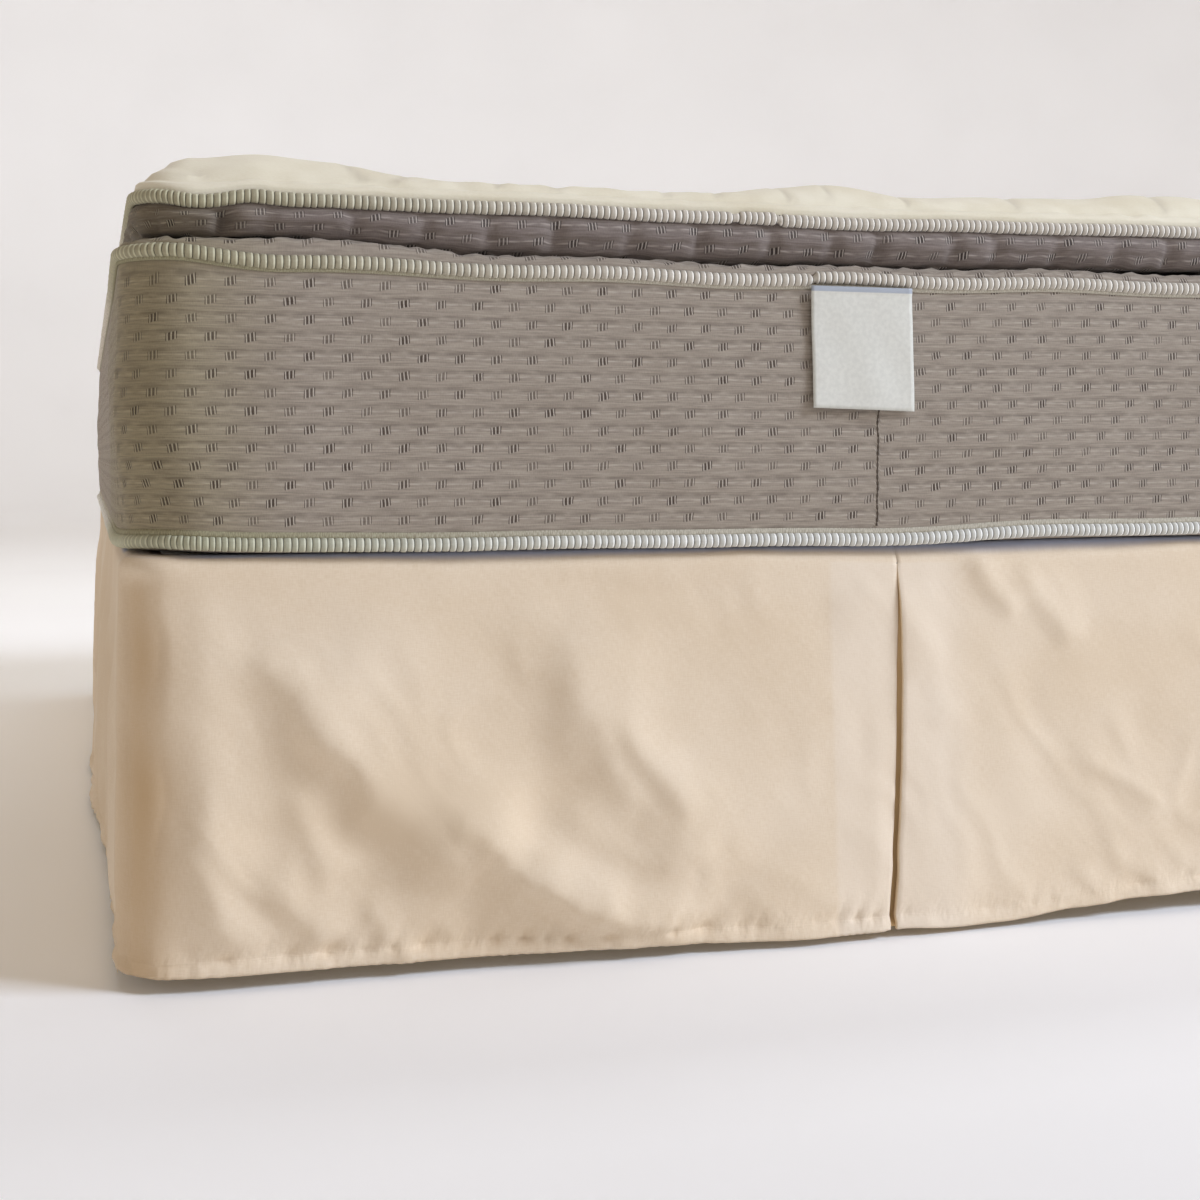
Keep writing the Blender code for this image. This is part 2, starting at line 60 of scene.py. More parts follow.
Array = np.ndarray
Node = bpy.types.Node
Socket = bpy.types.NodeSocket
Source = Node | Socket  # a node stands for its first output
Material = bpy.types.Material
Piece = bpy.types.Object

MM = 0.001
BODY = "root"
CLOTH_MAP = "cloth"  # UV map in metres of cloth: along the piece, and up or down it
# Painted shade on the mattress's cloth: darker and yellower towards the left corner at the foot.
SHADE_X = -0.75  # across the bed, the painted shade on the mattress cloth is deepest here,
SHADE_Y = (-0.40, -0.90)  # and along it, from the first of these to the second
SHADE_TAPE_X = -0.20  # across the bed, the painted shade on the bindings begins here
SHADE_TINT = "#D0D0B8"
SHADE_TICKING = "#E9E7CC"  # the ticking takes a lighter painted shade than its bindings


class Slot(Enum):
    """Material slots of the record."""

    SKIRT = "skirt_cloth"
    DECK = "deck_cloth"
    BORDER = "border_fabric"
    QUILT = "quilt_fabric"
    TAPE = "tape"
    LABEL = "label"
    TICKING = "ticking"
    STEEL = "frame_steel"


class Edge(Enum):
    """Sewn edges round the mattress; each value seeds how that edge wanders."""

    LOW = 51
    MIDDLE = 52
    TOP = 53


class Hold(Enum):
    """How a sheet of cloth is held."""

    HUNG = "hung"
    LAID = "laid"


# ---------------- colour and nodes

def linear(hex_colour: str) -> tuple[float, float, float, float]:
    """Turn an sRGB hex colour into the linear RGBA that shader sockets take.

    Args:
        hex_colour: Six hex digits, with or without a leading hash.

    Returns:
        Linear red, green, blue and an alpha of 1.
    """
    digits = hex_colour.lstrip("#")
    channels = [int(digits[k:k + 2], 16) / 255 for k in (0, 2, 4)]
    turned = [c / 12.92 if c <= 0.04045 else ((c + 0.055) / 1.055) ** 2.4 for c in channels]
    return turned[0], turned[1], turned[2], 1.0


def set_ramp(node: Node, stops: tuple[tuple[float, str], ...]) -> Socket:
    """Fill a colour ramp.

    Args:
        node: A ColorRamp node.
        stops: Position and hex colour of each stop, in rising order.

    Returns:
        The ramp's colour socket.
    """
    elements = node.color_ramp.elements
    while len(elements) < len(stops):
        elements.new(1.0)
    for element, (position, colour) in zip(elements, stops):
        element.position = position
        element.color = linear(colour)
    return node.outputs["Color"]


# ---------------- finishes

@dataclass
class Finish:
    """What every finish shares: a name, the values of its Principled shader and ways to draw."""

    name: str = ""
    roughness: float = 0.85
    metallic: float = 0.0
    ior: float = 1.5
    sheen: float = 0.0
    sheen_roughness: float = 0.5
    specular: float = 0.5
    glow: float = 0.0
    glow_colour: str = "#FFFFFF"
    light: str = "#FFFFFF"
    deep: str = "#000000"
    tree: bpy.types.NodeTree | None = field(init=False, default=None)

    def make(self) -> Material:
        """Build the material.

        Returns:
            A material whose shader this finish has dressed.
        """
        material = bpy.data.materials.new(self.name)
        material.use_nodes = True
        self.tree = material.node_tree
        shader = self.tree.nodes["Principled BSDF"]
        for socket, value in (("Roughness", self.roughness), ("Metallic", self.metallic), ("IOR", self.ior),
                              ("Sheen Weight", self.sheen), ("Sheen Roughness", self.sheen_roughness),
                              ("Specular IOR Level", self.specular),
                              ("Emission Color", linear(self.glow_colour)), ("Emission Strength", self.glow)):
            shader.inputs[socket].default_value = value
        self.connect(shader, self.dress())
        return material

    def connect(self, node: Node, links: dict[str | int, Source]) -> None:
        """Link sources to a node.

        Args:
            node: The node.
            links: Its sources, by the name or index of its own socket.
        """
        for name, source in links.items():
            self.tree.links.new(source.outputs[0] if isinstance(source, Node) else source, node.inputs[name])

    def add(self, kind: str, settings: dict | None = None, links: dict | None = None) -> Node:
        """Add one node with its settings and its incoming links.

        Args:
            kind: Type name of the node, without "ShaderNode", and its operation if it has one.
            settings: Node properties by name, and socket values by socket name or index.
            links: Sources that feed this node, by the name or index of its own socket.

        Returns:
            The new node.
        """
        kind, _, operation = kind.partition(" ")
        node = self.tree.nodes.new("ShaderNode" + kind)
        if operation:
            node.operation = operation
        for name, value in (settings or {}).items():
            if isinstance(name, str) and hasattr(node, name):
                setattr(node, name, value)
            else:
                node.inputs[name].default_value = value
        self.connect(node, links or {})
        return node

    def dress(self) -> dict[str, Source]:
        """Draw the finish's own colour and relief; each finish has its own.

        Returns:
            What feeds the Principled shader, by the names of its sockets.
        """
        raise NotImplementedError

    def cloth(self) -> Socket:
        """Coordinates in metres of cloth."""
        return self.add("UVMap", {"uv_map": CLOTH_MAP}).outputs["UV"]

    def tone(self, value: Source, low: float = 0.35, high: float = 0.65) -> Socket:
        """Colour from the deep tone, where a value is low, to the light one, where it is high."""
        ramp = self.add("ValToRGB", {}, {"Fac": value})
        return set_ramp(ramp, ((low, self.deep), (high, self.light)))

    def tinted(self, share: Source | str, colour: Source, tint: str, blend: str = "MIX") -> Socket:
        """Mix a colour with a tint.

        Args:
            share: How much of the tint, or the name of the mesh attribute that says it.
            colour: The colour before.
            tint: sRGB hex colour.
            blend: How the two are mixed.

        Returns:
            The mixed colour's socket.
        """
        if isinstance(share, str):
            share = self.add("Attribute", {"attribute_name": share}).outputs["Fac"]
        settings = {"data_type": "RGBA", "blend_type": blend, 7: linear(tint)}
        return self.add("Mix", settings, {0: share, 6: colour}).outputs[2]

    def relief(self, height: Source, strength: float, depth: float, **under: Source) -> Node:
        """Relief of the surface.

        Args:
            height: Height of the relief, from 0 to 1.
            strength: How strongly it shows.
            depth: What a height of 1 stands for, in metres.
            under: Normal of a coarser relief that lies under it, if there is one.

        Returns:
            The node with the resulting normal.
        """
        return self.add("Bump", {"Strength": strength, "Distance": depth}, {"Height": height, **under})

    def threads(self, along: Source, spacing: float, length: float, crosswise: bool = False,
                detail: float = 2.0) -> Node:
        """Noise drawn out along one thread direction, which reads as spun yarn.

        Args:
            along: Coordinates in metres of cloth.
            spacing: Distance between threads.
            length: Length over which one thread changes.
            crosswise: True for threads that run up and down.
            detail: Octaves of the noise.

        Returns:
            The noise's node.
        """
        scale = (1 / spacing, 1 / length, 1.0) if crosswise else (1 / length, 1 / spacing, 1.0)
        spread = self.add("Mapping", {"Scale": scale}, {"Vector": along})
        return self.add("TexNoise", {"noise_dimensions": "2D", "Scale": 1.0, "Detail": detail},
                        {"Vector": spread})

    def left_shade(self, colour: Source, start: float, tint: str = SHADE_TINT) -> Socket:
        """Darken and yellow a colour towards the left corner at the foot: painted shade.

        Args:
            colour: The fresh colour.
            start: Where across the bed the painted shade begins.
            tint: sRGB hex colour that the shaded cloth is multiplied by.

        Returns:
            The shaded colour's socket.
        """
        axes = self.add("SeparateXYZ", {}, {0: self.add("TexCoord").outputs["Object"]})
        shares = [self.add("MapRange", {"From Min": first, "From Max": last,
                                        "interpolation_type": "SMOOTHSTEP"}, {"Value": axes.outputs[axis]})
                  for axis, first, last in (("X", start, SHADE_X), ("Y", *SHADE_Y))]
        share = self.add("Math MULTIPLY", {}, dict(enumerate(shares)))
        return self.tinted(share, colour, tint, "MULTIPLY")


@dataclass
class PlainWeave(Finish):
    """Cotton and polyester sheeting, plain woven, dyed in the piece and pressed.

    Fine even threads that only show as faint slubs both ways, a soft dry face with a little bloom
    at grazing angles, and a slightly deeper colour where the dye took more.
    """

    name: str = "cotton_sheeting_plain_woven"
    roughness: float = 0.82
    sheen: float = 0.08
    sheen_roughness: float = 0.45
    specular: float = 0.25
    light: str = "#EBDAC2"
    deep: str = "#E2CEB2"
    pleat_highlight: str = "#F2E6D6"  # painted highlight over the pleat, where more layers lie
    pleat_shade: str = "#E8C895"  # painted shade inside the pleat
    shaded: str = "#C3A275"  # painted shade where the cloth is drawn in round the corner
    lining: str = "#A2A8BA"  # painted bluish shade on the strip that lies under the mattress
    thread: float = 1.1 * MM  # the real thread lies 0.35 mm apart; drawn coarser so that it shows
    slub: float = 8 * MM
    cloud: float = 160 * MM
    rumple: float = 55 * MM
    pucker: float = 13 * MM  # spacing of the small puckers that the hem's stitching draws up

    def dress(self) -> dict[str, Source]:
        """Two thread directions and a slow cloud of colour, with a fine relief.

        Returns:
            Sources for the shader's sockets.
        """
        cloth = self.cloth()
        weft = self.threads(cloth, self.thread, self.slub)
        warp = self.threads(cloth, self.thread, self.slub, crosswise=True)
        cloud = self.threads(cloth, self.cloud, self.cloud * 1.3, detail=3.0)
        weave = self.add("Math ADD", {}, {0: weft, 1: warp})
        tone = self.add("Math MULTIPLY_ADD", {1: 0.50, 2: -0.50}, {0: weave})
        tone = self.add("Math MULTIPLY_ADD", {1: 0.9}, {0: cloud, 2: tone})
        colour = self.tone(tone, 0.25, 0.70)
        # Painted light and shade from the mesh: a highlight over the pleat, shade inside it and round the
        # corner, and bluish shade under the mattress.
        for name in ("pleat_highlight", "shaded", "pleat_shade", "lining"):
            colour = self.tinted(name, colour, getattr(self, name))
        leaning = self.add("Mapping", {"vector_type": "TEXTURE", "Scale": (2.4, 1.0, 1.0),
                                       "Rotation": (0.0, 0.0, math.radians(-50))}, {"Vector": cloth})
        rumple = self.add("TexNoise", {"noise_dimensions": "2D", "Scale": 1 / self.rumple, "Detail": 4.0,
                                       "Roughness": 0.45}, {"Vector": leaning})
        creased = self.relief(rumple, 0.62, 2.4 * MM)
        hem = self.add("Attribute", {"attribute_name": "hem"}).outputs["Fac"]
        slanted = self.add("Mapping", {"Rotation": (0.0, 0.0, math.radians(24))}, {"Vector": cloth})
        drawn = self.threads(slanted, self.pucker, self.pucker * 1.9, crosswise=True, detail=2.5)
        drawn = self.add("Math MULTIPLY", {}, {0: drawn, 1: hem})
        puckered = self.relief(drawn, 0.6, 4.5 * MM, Normal=creased)
        return {"Base Color": colour, "Normal": self.relief(weave, 0.14, 0.35 * MM, Normal=puckered)}


@dataclass
class PlatformCloth(Finish):
    """Spun-bonded polyester, calendered: the deck's plain white lining cloth.

    Matt and papery, with short crossed fibres instead of a weave.
    """

    name: str = "polyester_nonwoven_calendered"
    roughness: float = 0.9
    specular: float = 0.25
    light: str = "#E9E6DF"
    deep: str = "#DAD6CD"
    fibre: float = 4 * MM

    def dress(self) -> dict[str, Source]:
        """Crossed fibres in colour and relief.

        Returns:
            Sources for the shader's sockets.
        """
        cloth = self.cloth()
        fibres = self.threads(cloth, self.fibre, self.fibre * 1.6, detail=6.0)
        return {"Base Color": self.tone(fibres), "Normal": self.relief(fibres, 0.3, 0.2 * MM)}


@dataclass
class DobbyTicking(Finish):
    """Polyester ticking, dobby woven in taupe, with small clusters of raised floats.

    The ground is heathered crosswise. Every cluster is three short upright floats with dark gaps,
    and the cloth is drawn into fine level creases to its left and right, with painted shade above
    each crease and a painted highlight below it.
    """

    name: str = "polyester_ticking_dobby_woven"
    roughness: float = 0.78
    sheen: float = 0.12
    specular: float = 0.30
    light: str = "#ABA091"
    deep: str = "#8A7F73"
    float_light: str = "#B9AEA1"
    gap_dark: str = "#4E4238"
    # painted shade above each crease; the pale crease below it is a painted highlight in float_light
    crease_shade: str = "#6C6157"
    repeat: float = 35.0 * MM
    row: float = 16.7 * MM
    cluster: float = 10.0 * MM
    tall: float = 7.2 * MM
    bar: float = 3.5 * MM
    slant: float = 0.04  # how far the floats lean, as a slope
    uneven: float = 22 * MM  # size of the patches in which the weave is pulled out of true
    shift: float = 2.4 * MM
    thread: float = 0.9 * MM  # the real thread is 0.3 mm; drawn coarser so that it shows
    slub: float = 12 * MM
    shade_from: float = -0.58  # where across the bed the painted shade begins

    def dress(self) -> dict[str, Source]:
        """The staggered clusters over a heathered ground.

        Returns:
            Sources for the shader's sockets.
        """
        cloth = self.cloth()
        uneven = self.add("TexNoise", {"noise_dimensions": "2D", "Scale": 1 / self.uneven,
                                       "Detail": 2.0}, {"Vector": cloth})
        offset = self.add("VectorMath MULTIPLY_ADD", {1: (self.shift,) * 3, 2: (-self.shift / 2,) * 3},
                          {0: uneven.outputs["Color"]})
        across, up, cell = self.cells(self.add("VectorMath ADD", {}, {0: cloth, 1: offset}))
        jitter = self.add("TexWhiteNoise", {"noise_dimensions": "2D"}, {"Vector": cell})
        vigour = self.add("MapRange", {"To Min": 0.55, "To Max": 1.0}, {"Value": jitter})
        near_x = self.window(across, self.cluster / 2 / self.repeat, 0.022)
        leaning = self.add("Math MULTIPLY_ADD", {1: -0.45}, {0: across, 2: up})
        near_z = self.window(leaning, self.tall / 2 / self.row, 0.09)
        spot = self.add("Math MULTIPLY", {}, {0: near_x, 1: near_z})
        spot = self.add("Math MULTIPLY", {}, {0: spot, 1: vigour})
        slope = self.slant * self.row / self.repeat
        slanted = self.add("Math MULTIPLY_ADD", {1: slope}, {0: up, 2: across})
        turns = self.add("Math MULTIPLY", {1: math.tau * self.repeat / self.bar}, {0: slanted})
        wave = self.add("Math COSINE", {}, {0: turns})
        bars = self.add("MapRange", {"From Min": -0.15, "From Max": 0.85,
                                     "interpolation_type": "SMOOTHSTEP"}, {"Value": wave})
        ground = self.ground(cloth)
        inside = self.add("Mix", {"data_type": "RGBA", 6: linear(self.gap_dark),
                                  7: linear(self.float_light)}, {0: bars})
        creased, crease = self.creases(across, up, vigour, ground)
        colour = self.add("Mix", {"data_type": "RGBA"}, {0: spot, 6: creased, 7: inside.outputs[2]})
        # Painted shade towards the left corner at the foot.
        left_shade = self.left_shade(colour.outputs[2], self.shade_from, SHADE_TICKING)
        raised = self.add("Math MULTIPLY", {}, {0: spot, 1: bars})
        sunk = self.add("Math MULTIPLY_ADD", {1: -0.6, 2: 0.5}, {0: spot})
        relief = self.add("Math ADD", {}, {0: raised, 1: sunk})
        relief = self.add("Math SUBTRACT", {}, {0: relief, 1: crease})
        weft = self.threads(cloth, self.thread, self.slub)
        relief = self.add("Math MULTIPLY_ADD", {1: 0.22}, {0: weft, 2: relief})
        return {"Base Color": left_shade, "Normal": self.relief(relief, 0.75, 1.2 * MM)}

    def cells(self, cloth: Source) -> tuple[Source, Source, Source]:
        """Staggered repeats of the pattern.

        Args:
            cloth: Coordinates in metres of cloth.

        Returns:
            Place across a repeat and up a row, both from -0.5 to 0.5, and the repeat's own number.
        """
        scaled = self.add("Mapping", {"Scale": (1 / self.repeat, 1 / self.row, 1.0)}, {"Vector": cloth})
        along, up, _ = self.add("SeparateXYZ", {}, {0: scaled}).outputs
        row = self.add("Math FLOOR", {}, {0: up})
        shifted = self.add("Math MULTIPLY_ADD", {1: 0.5}, {0: row, 2: along})
        column = self.add("Math FLOOR", {}, {0: shifted})
        parts = [self.add("Math FRACT", {}, {0: value}) for value in (shifted, up)]
        across, up = [self.add("Math SUBTRACT", {1: 0.5}, {0: part}) for part in parts]
        return across, up, self.add("CombineXYZ", {}, {"X": column, "Y": row})

    def window(self, place: Source, half: float, soft: float, centre: float = 0.0) -> Node:
        """A soft-edged mask of 1 within half of a centre.

        Args:
            place: Place within the repeat.
            half: Half the mask's width, as a share of the repeat.
            soft: Width of its soft edge.
            centre: Middle of the mask.

        Returns:
            The mask's node.
        """
        off = self.add("Math SUBTRACT", {1: centre}, {0: place})
        off = self.add("Math ABSOLUTE", {}, {0: off})
        return self.add("MapRange", {"From Min": half + soft / 2, "From Max": half - soft / 2,
                                     "interpolation_type": "SMOOTHSTEP"}, {"Value": off})

    def ground(self, cloth: Socket) -> Socket:
        """The heathered ground between the clusters.

        Args:
            cloth: Coordinates in metres of cloth.

        Returns:
            Its colour.
        """
        streak = self.threads(cloth, self.thread * 1.8, self.slub * 2.5, detail=3.0)
        fine = self.threads(cloth, self.thread, self.slub * 0.3, crosswise=True)
        blend = self.add("Math MULTIPLY_ADD", {1: 0.35}, {0: fine, 2: streak})
        return self.tone(blend, 0.38, 0.95)

    def creases(self, across: Source, up: Source, vigour: Source, ground: Source) -> tuple[Source, Source]:
        """Level creases that run from cluster to cluster: painted shade above a painted highlight, with their
        relief.

        Args:
            across: Place across the repeat.
            up: Place up the row.
            vigour: How strongly this repeat shows.
            ground: Colour of the ground.

        Returns:
            The ground with the creases' painted shade and highlight, and the depth of the creases.
        """
        reach = self.window(across, 0.40, 0.34)
        dark = self.window(up, 0.10, 0.20, centre=0.30)
        pale = self.window(up, 0.050, 0.10, centre=0.02)
        strength = self.add("Math MULTIPLY", {}, {0: reach, 1: vigour})
        masks = [self.add("Math MULTIPLY", {}, {0: line, 1: strength}) for line in (dark, pale)]
        colour = ground
        # The dark band is painted shade, the pale band a painted highlight.
        for mask, tint, share in zip(masks, (self.crease_shade, self.float_light), (0.50, 0.75)):
            share_of = self.add("Math MULTIPLY", {1: share}, {0: mask})
            colour = self.tinted(share_of, colour, tint)
        depth = self.add("Math SUBTRACT", {}, dict(enumerate(masks)))
        return colour, self.add("Math MULTIPLY", {1: 0.5}, {0: depth})


@dataclass
class StretchKnit(Finish):
    """Polyester stretch knit, quilted over fibre: the crown of the pillow top.

    Pale and soft, with fine knit rows, a faint mottle, and some bloom where it turns away.
    """

    name: str = "polyester_knit_quilted"
    roughness: float = 0.85
    sheen: float = 0.25
    specular: float = 0.25
    light: str = "#EEE7D1"
    deep: str = "#E4DBC1"
    seam: str = "#B5A992"  # painted shade along the quilting, where the thread sinks, and in the creases by the binding
    knit: float = 1.8 * MM  # real knit rows lie 0.8 mm apart; drawn coarser so that they show

    def dress(self) -> dict[str, Source]:
        """Knit rows in relief over a mottled pale ground.

        Returns:
            Sources for the shader's sockets.
        """
        cloth = self.cloth()
        rows = self.threads(cloth, self.knit, self.knit * 2.0, detail=2.0)
        mottle = self.threads(cloth, self.knit * 45, self.knit * 60, detail=5.0)
        blend = self.add("Math MULTIPLY_ADD", {1: 0.25}, {0: rows, 2: mottle})
        colour = self.tinted("seam", self.tone(blend, 0.35, 0.75), self.seam)
        return {"Base Color": colour, "Normal": self.relief(rows, 0.35, 0.5 * MM)}


@dataclass
class RibbedBinding(Finish):
    """Polyester binding tape, woven with cross ribs and folded over the seam.

    The ribs are pale ivory grey with a painted highlight along one side, their grooves hold
    painted shade and dust, and fine cords run across.
    """

    name: str = "polyester_binding_rib_woven"
    roughness: float = 0.72
    sheen: float = 0.10
    specular: float = 0.40
    # light is the painted highlight along one side of each rib; deep is the ribs' own body
    light: str = "#F3EEE2"
    deep: str = "#C3BBAD"
    groove: str = "#544D43"
    cord: float = 0.55 * MM

    def dress(self) -> dict[str, Source]:
        """Pale ribs with a painted highlight on one side and dark grooves; the map's first number counts the
        ribs.

        Returns:
            Sources for the shader's sockets.
        """
        cloth = self.cloth()
        place = self.add("Math FRACT", {}, {0: self.add("SeparateXYZ", {}, {0: cloth})})
        ramp = self.add("ValToRGB", {}, {"Fac": place})
        # Each rib: painted shade in its groove, its body, then a painted highlight on one side.
        rib = set_ramp(ramp, ((0.00, self.groove), (0.12, self.deep), (0.62, self.deep),
                              (0.78, self.light), (0.90, self.light), (1.00, self.groove)))
        cords = self.threads(cloth, self.cord, 0.25, detail=1.0)
        worn = self.threads(cloth, 4 * MM, 3.0, detail=4.0)
        shade = self.add("Math MULTIPLY_ADD", {1: 0.30, 2: 0.80}, {0: worn})
        shade = self.add("Math MULTIPLY_ADD", {1: 0.12}, {0: cords, 2: shade})
        worn = self.add("VectorMath SCALE", {}, {0: rib, "Scale": shade})
        # Painted shade towards the left corner at the foot.
        return {"Base Color": self.left_shade(worn, SHADE_TAPE_X), "Normal": self.relief(cords, 0.4, 0.25 * MM)}


@dataclass
class FlatTape(Finish):
    """The binding's flat woven edge: polyester, herringbone so fine that it reads as grain."""

    name: str = "polyester_tape_flat_woven"
    roughness: float = 0.8
    specular: float = 0.35
    light: str = "#C9C3B2"
    deep: str = "#A79F8E"
    thread: float = 1.0 * MM  # the real thread is 0.3 mm; drawn coarser so that it shows

    def dress(self) -> dict[str, Source]:
        """Fine upright threads.

        Returns:
            Sources for the shader's sockets.
        """
        cloth = self.cloth()
        grain = self.threads(cloth, self.thread, self.thread * 3, crosswise=True, detail=3.0)
        # Painted shade towards the left corner at the foot.
        left_shade = self.left_shade(self.tone(grain), SHADE_TAPE_X)
        return {"Base Color": left_shade, "Normal": self.relief(grain, 0.4, 0.2 * MM)}


@dataclass
class BlankLabel(Finish):
    """Spun-bonded polyethylene sheet, cut and folded: a plain white label.

    Smooth and a little waxy, with faint swirled fibres; it is blank.
    """

    name: str = "polyethylene_sheet_spun_bonded"
    roughness: float = 0.55
    specular: float = 0.45
    light: str = "#DCDBD1"
    deep: str = "#D4D3C9"
    # the folded colour is painted bluish shade on the doubled band under the binding
    folded: str = "#A9AFB8"
    fold: float = 0.6462  # height above which the sheet is doubled under the binding
    fibre: float = 5 * MM

    def dress(self) -> dict[str, Source]:
        """Faint swirled fibres, and painted shade on the doubled band under the binding.

        Returns:
            Sources for the shader's sockets.
        """
        cloth = self.cloth()
        fibres = self.threads(cloth, self.fibre, self.fibre, detail=6.0)
        sheet = self.tone(fibres)
        height = self.add("SeparateXYZ", {}, {0: cloth}).outputs["Y"]
        # The doubled band under the binding takes painted shade.
        span = {"From Min": self.fold - 0.4 * MM, "From Max": self.fold + 0.4 * MM}
        doubled = self.add("MapRange", span, {"Value": height})
        return {"Base Color": self.tinted(doubled, sheet, self.folded),
                "Normal": self.relief(fibres, 0.08, 0.2 * MM)}


@dataclass
class PlainTicking(Finish):
    """Cotton and polyester ticking, twill woven, on the box spring: grey beige with a fine twill line."""

    name: str = "cotton_ticking_twill_woven"
    roughness: float = 0.88
    sheen: float = 0.10
    specular: float = 0.25
    light: str = "#BDB6AB"
    deep: str = "#ADA59A"
    twill: float = 1.6 * MM  # real twill lines lie 0.9 mm apart; drawn coarser so that they show

    def dress(self) -> dict[str, Source]:
        """Diagonal twill lines over a heathered ground.

        Returns:
            Sources for the shader's sockets.
        """
        cloth = self.cloth()
        turned = self.add("Mapping", {"Rotation": (0.0, 0.0, math.radians(63))}, {"Vector": cloth})
        twill = self.threads(turned, self.twill, self.twill * 12, detail=1.0)
        heather = self.threads(cloth, self.twill * 2, self.twill * 15, detail=3.0)
        blend = self.add("Math MULTIPLY_ADD", {1: 0.6}, {0: twill, 2: heather})
        return {"Base Color": self.tone(blend, 0.55, 1.00), "Normal": self.relief(twill, 0.35, 0.3 * MM)}


@dataclass
class PowderCoat(Finish):
    """Steel tube, powder coated in satin black: a fine orange-peel surface and a soft highlight."""

    name: str = "steel_powder_coated"
    roughness: float = 0.42
    specular: float = 0.5
    light: str = "#2B2B2D"
    deep: str = "#1F1F21"
    grain: float = 1.2 * MM

    def dress(self) -> dict[str, Source]:
        """Orange peel, with a slight change of gloss and shade.

        Returns:
            Sources for the shader's sockets.
        """
        place = self.add("TexCoord").outputs["Object"]
        peel = self.add("TexNoise", {"Scale": 1 / self.grain, "Detail": 2.0}, {"Vector": place})
        cloud = self.add("TexNoise", {"Scale": 9.0, "Detail": 3.0}, {"Vector": place})
        gloss = self.add("MapRange", {"To Min": 0.36, "To Max": 0.50}, {"Value": cloud})
        return {"Base Color": self.tone(cloud), "Roughness": gloss,
                "Normal": self.relief(peel, 0.25, 0.15 * MM)}


@dataclass
class MouldedGlide(Finish):
    """Polypropylene glide, injection moulded: dark grey, smooth, with light scuffs."""

    name: str = "polypropylene_moulded"
    roughness: float = 0.5
    light: str = "#3A3A3C"
    deep: str = "#303032"

    def dress(self) -> dict[str, Source]:
        """Scuffs in colour and gloss.

        Returns:
            Sources for the shader's sockets.
        """
        place = self.add("TexCoord").outputs["Object"]
        scuff = self.add("TexNoise", {"Scale": 60.0, "Detail": 4.0}, {"Vector": place})
        gloss = self.add("MapRange", {"To Min": 0.42, "To Max": 0.60}, {"Value": scuff})
        return {"Base Color": self.tone(scuff, 0.40, 0.60), "Roughness": gloss}


@dataclass
class StudioPaper(Finish):
    """Seamless studio paper, rolled out: a matt pale ground with a barely seen mottle."""

    name: str = "paper_seamless"
    roughness: float = 0.95
    specular: float = 0.1
    light: str = "#F7F9FC"
    deep: str = "#F3F5F8"
    glow: float = 0.09  # a little light of its own, as from a lit table
    glow_colour: str = "#FFE6C4"

    def dress(self) -> dict[str, Source]:
        """A slow, faint mottle.

        Returns:
            Sources for the shader's sockets.
        """
        place = self.add("TexCoord").outputs["Object"]
        mottle = self.add("TexNoise", {"Scale": 1.5, "Detail": 4.0}, {"Vector": place})
        return {"Base Color": self.tone(mottle, 0.30, 0.70)}


# ---------------- shapes

def ease(value: Array) -> Array:
    """Ease from 0 to 1 as value goes from 0 to 1."""
    held = np.clip(value, 0.0, 1.0)
    return held * held * (3.0 - 2.0 * held)


def read_table(keys: Array, values: Array, at: Array) -> Array:
    """Read a table between its rows, easing from row to row.

    Args:
        keys: Rising keys.
        values: A value for each key.
        at: Where to read.

    Returns:
        The eased values.
    """
    low = np.clip(np.searchsorted(keys, at) - 1, 0, len(keys) - 2)
    share = (at - keys[low]) / (keys[low + 1] - keys[low])
    return values[low] + (values[low + 1] - values[low]) * ease(share)


def noise(across: Array, up: Array, seed: int, longest: float, shortest: float, waves: int = 14) -> Array:
    """Smooth unevenness from crossed waves, the same on every run.

    Args:
        across: First coordinate in metres.
        up: Second coordinate in metres.
        seed: Seed of the draw.
        longest: Longest wave.
        shortest: Shortest wave.
        waves: Number of waves.

    Returns:
        Values that are mostly between -1 and 1.
    """
    draw = np.random.default_rng(seed)
    total = np.zeros(np.broadcast(across, up).shape)
    for _ in range(waves):
        turn = draw.uniform(0.0, math.tau)
        length = shortest * (longest / shortest) ** draw.uniform()
        phase = draw.uniform(0.0, math.tau)
        total += np.sin(math.tau * (across * math.cos(turn) + up * math.sin(turn)) / length + phase)
    return total / math.sqrt(waves)


def walked(across: Array, up: Array) -> Array:
    """Length walked from point to point along a line, starting at 0."""
    return np.concatenate([[0.0], np.cumsum(np.hypot(np.diff(across), np.diff(up)))])


def grid(*parts: Array) -> Array:
    """Put coordinates of different shapes together, rows by columns by coordinates."""
    return np.stack(np.broadcast_arrays(*parts), axis=-1)


def paint(obj: Piece, name: str, values: Array) -> None:
    """Store one value a point on the mesh, under a name that its finish reads."""
    obj.data.attributes.new(name, "FLOAT", "POINT").data.foreach_set("value", values.astype(np.float32))


def finish_piece(obj: Piece, replaced: tuple[str, ...] = ()) -> Piece:
    """Let a piece ride on the body, hide the solids that it stands for and log its size.

    Args:
        obj: The piece.
        replaced: Solids that it stands for.

    Returns:
        The same piece.
    """
    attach(obj, BODY)
    if replaced:
        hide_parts(*replaced)
    log.info("%s: %d faces", obj.name, len(obj.data.polygons))
    return obj


